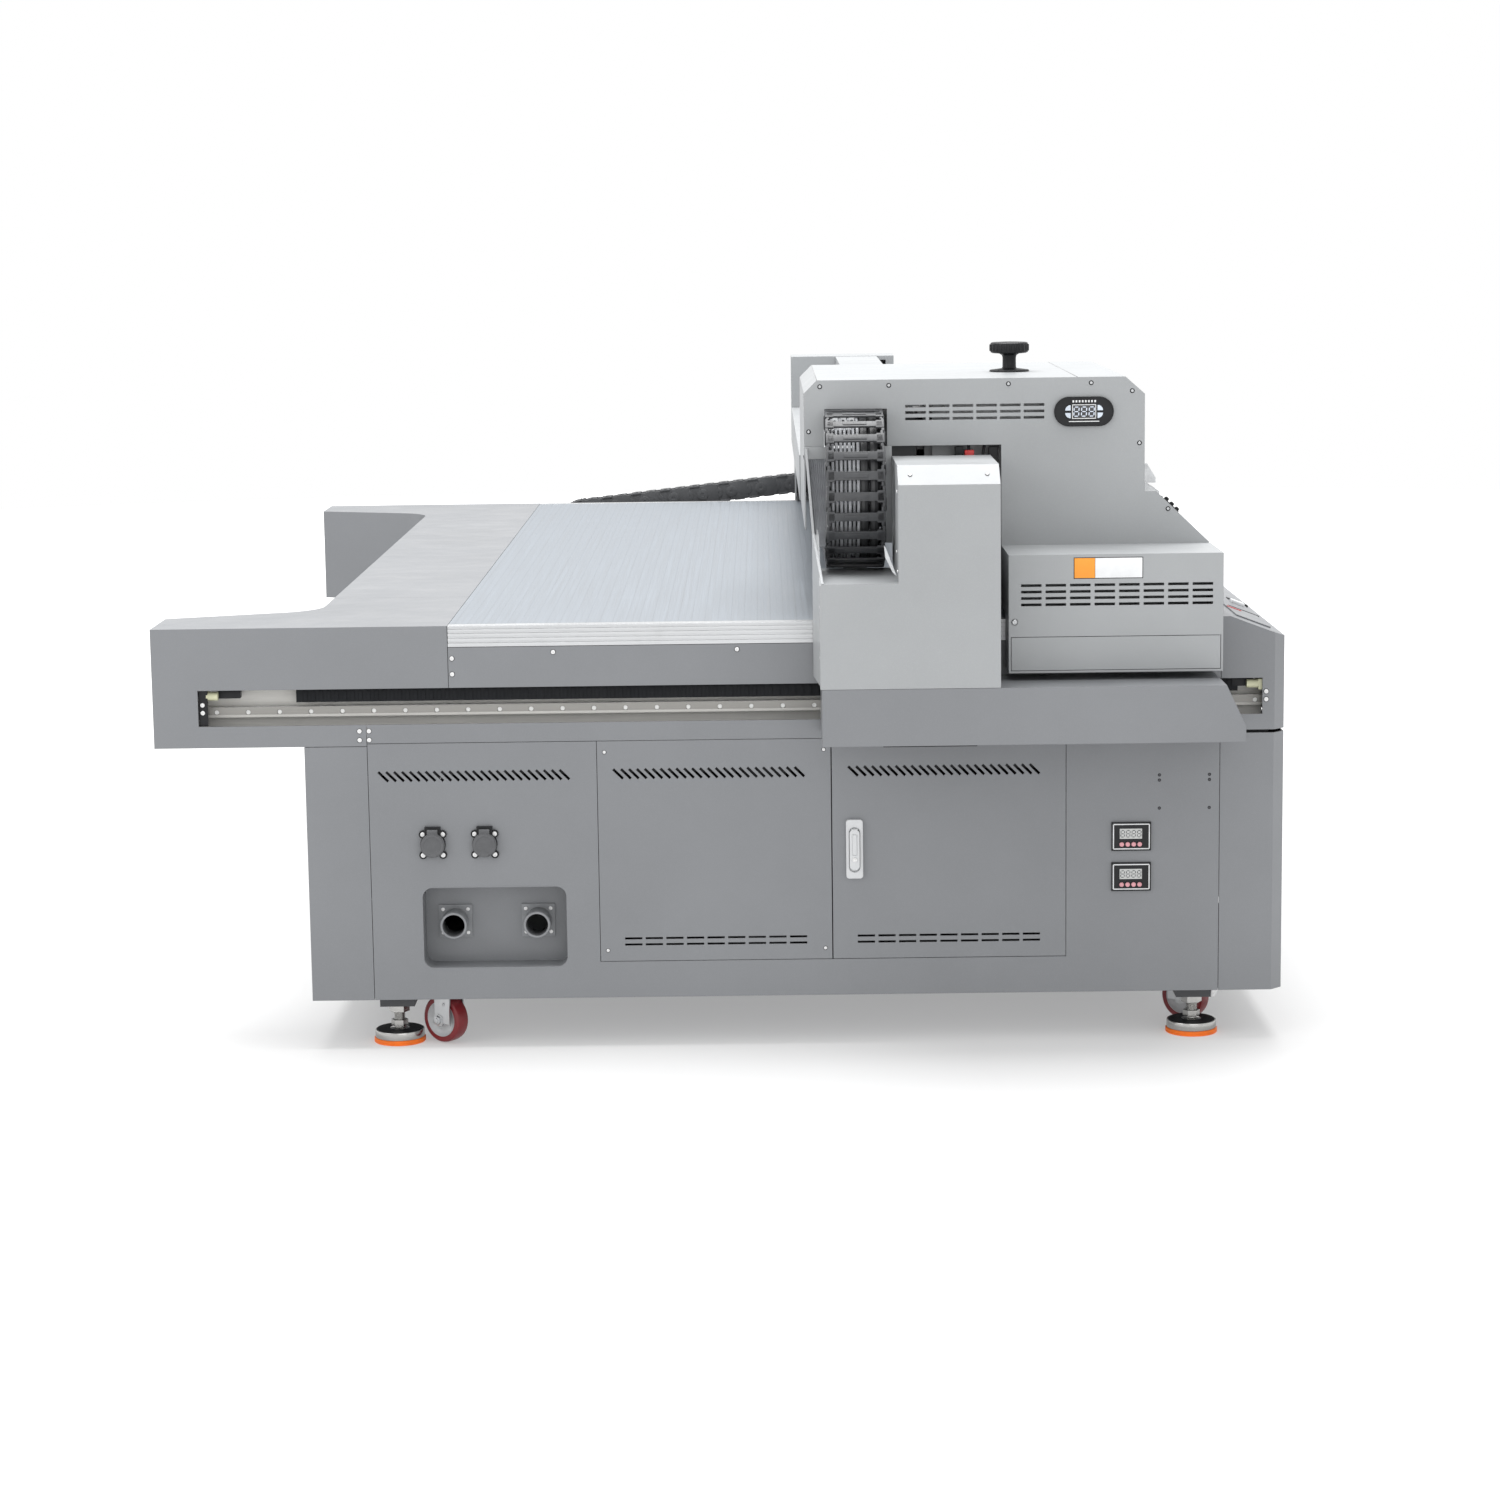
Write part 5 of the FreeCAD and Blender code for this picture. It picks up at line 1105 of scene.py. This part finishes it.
def head_details():
    plates = Form()
    tubes = Form()
    for column in range(3):
        for line in range(2):
            x = 1535 + column * 110
            y = 262 + line * 180
            plates.box(at(x + 8, y + 8, 825.4), at(x + 52, y + 132, 826.4), 0.0003)
            for dx in (16, 30, 44):
                tubes.tube([at(x + dx, y + 60, 984), at(x + dx, y + 60, 1000),
                            at(x + dx + 4, y + 74, 1016), at(x + dx + 8, y + 96, 1020)],
                           0.003, 8)
    plates.done("nozzle_plates", "brass_parts", "head_unit")
    tubes.done("ink_tubes", "cable_grey", "head_unit")
    fins = Form()
    glass = Form()
    for start in (158, 622):
        for step in range(26):
            x = 1508 + step * 13
            fins.box(at(x, start + 8, 999.5), at(x + 3, start + 62, 1014), 0.0004)
        glass.box(at(1512, start + 12, 829.2), at(1844, start + 58, 830.3), 0.0003)
    fins.done("lamp_cooling_fins", "head_metal", "head_unit")
    glass.done("lamp_windows", "lamp_glass", "head_unit")


carriage_fans()
carriage_details()
head_details()


# ---------------------------------------------------------------- trims of the covers

def cover_trims():
    """Seals behind the doors, a black frame behind the flap's gap that paints the shadow in it, a
    cleat, the door's hinge knuckles and the mains grommet.
    """
    blocks("door_seals", "black_plastic", "base", 0.0008,
           [(x0, 3.4, 590, x1, 8, 594.5) for x0, x1 in ((842.5, 1284.5), (1288.5, 1731.5))])
    left, right, low, high = 1622, 2011, 733.5, 797.5
    sides = ((left, right, 791.5, high), (left, right, low, 738),
             (left, left + 4, 738, 791.5), (right - 4, right, 738, 791.5))
    # painted shadow: a black frame behind the flap's gap makes the gap read dark
    blocks("flap_gap_shadow", "rack_black", "gantry", 0.0006,
           [(x0, INK_FACE + 6, z0, x1, INK_FACE + 9, z1) for x0, x1, z0, z1 in sides])
    cleat = Form()
    turn = Matrix.Rotation(math.radians(24), 3, "Y")
    middle = at(2021, 56, 84)
    place_box(cleat, middle, Vector((0.0085, 0.006, 0.0095)), 0.0012, turn)
    place_box(cleat, middle + Vector((0, -0.007, 0)), Vector((0.004, 0.003, 0.0045)), 0.0012,
              turn)
    cleat.done("column_cleat", "steel_screws", "base")
    knuckles = Form()
    for z in (230, 520):
        knuckles.lathe(mirrored([(4.2, -26), (4.6, -25)]), at(1728, 9, z), UP, 16)
    knuckles.done("door_hinge_knuckles", "steel_screws", "door")
    grommet = Form()
    grommet.lathe([(26, 0), (26, 3), (20, 4.5), (17, 1.5), (17, 0)], at(BODY_WIDE, 2700, 240),
                  RIGHT, 32, ring=True)
    grommet.done("mains_grommet", "black_plastic", "base")


cover_trims()


# ---------------------------------------------------------------- floor, light, camera

FLOOR_RADIUS = 12.0
FLOOR_SIDES = 72


def pale_floor():
    """A pale disc that glows, more brightly away from the machine: painted light that lifts the
    machine's shadow and whitens the far floor.
    """
    floor_form = bmesh.new()
    for cos, sin in circle(FLOOR_SIDES):
        floor_form.verts.new((FLOOR_RADIUS * cos, FLOOR_RADIUS * sin, 0))
    floor_form.faces.new(floor_form.verts)
    mesh = bpy.data.meshes.new("floor")
    floor_form.to_mesh(mesh)
    floor_form.free()
    floor = bpy.data.objects.new("floor", mesh)
    bpy.context.scene.collection.objects.link(floor)
    tree, bsdf = new_material("floor", Roughness=0.9, Specular_IOR_Level=0.1)
    cloud = noise(tree, 0.6, 3.0, 0.5)
    tone = mix_colour(tree, cloud, (0.5, 0.5, 0.5), (0.54, 0.54, 0.54))
    tree.links.new(tone, bsdf.inputs["Base Color"])
    # painted light: the floor's emission grows with distance from the middle, weakest under the
    # machine
    reach = add(tree, "VectorMath")
    reach.operation = "LENGTH"
    tree.links.new(coords(tree), reach.inputs[0])
    tree.links.new(tone, bsdf.inputs["Emission Color"])
    tree.links.new(remap(tree, reach.outputs["Value"], 0.6, 1.9, 2.0, 9.0),
                   bsdf.inputs["Emission Strength"])
    mesh.materials.append(MAT["floor"])


def studio_light():
    world = bpy.data.worlds.new("studio")
    world.use_nodes = True
    background = world.node_tree.nodes["Background"]
    background.inputs["Color"].default_value = (1.0, 1.0, 1.0, 1.0)
    background.inputs["Strength"].default_value = 1.0
    bpy.context.scene.world = world

    def area(name, spot, goal, wide, deep, power):
        light = bpy.data.lights.new(name, "AREA")
        light.shape = "RECTANGLE"
        light.size = wide
        light.size_y = deep
        light.energy = power
        obj = bpy.data.objects.new(name, light)
        obj.location = spot
        obj.rotation_euler = (Vector(goal) - Vector(spot)).to_track_quat("-Z", "Y").to_euler()
        bpy.context.scene.collection.objects.link(obj)

    area("overhead", (0.0, 0.3, 6.0), (0.0, 0.0, 0.8), 5.0, 6.0, 560.0)
    area("left_key", (-5.5, -5.0, 3.6), (0.0, 0.0, 0.7), 3.5, 3.0, 60.0)
    area("near_fill", (1.5, -8.5, 2.6), (0.0, 0.0, 0.7), 5.0, 3.0, 50.0)


def camera():
    """Stands before the near side, a little above the bed, and looks slightly down."""
    yaw = math.radians(-0.291)
    pitch = math.radians(-8.945)
    roll = math.radians(-0.760)
    ahead = Vector((math.sin(yaw) * math.cos(pitch), math.cos(yaw) * math.cos(pitch),
                    math.sin(pitch)))
    right = Vector((math.cos(yaw), -math.sin(yaw), 0.0))
    up = right.cross(ahead)
    side = right * math.cos(roll) + up * math.sin(roll)
    top = up * math.cos(roll) - right * math.sin(roll)
    stand = (0.0905, -7.7643, 1.5801)
    data = bpy.data.cameras.new("camera")
    data.lens = 81.6
    data.sensor_width = 36.0
    data.clip_end = 100.0
    obj = bpy.data.objects.new("camera", data)
    turn = Matrix((side, top, -ahead)).transposed().to_4x4()
    obj.matrix_world = Matrix.Translation(stand) @ turn
    bpy.context.scene.collection.objects.link(obj)
    bpy.context.scene.camera = obj


pale_floor()
studio_light()
camera()
bpy.context.scene.view_settings.view_transform = "Standard"
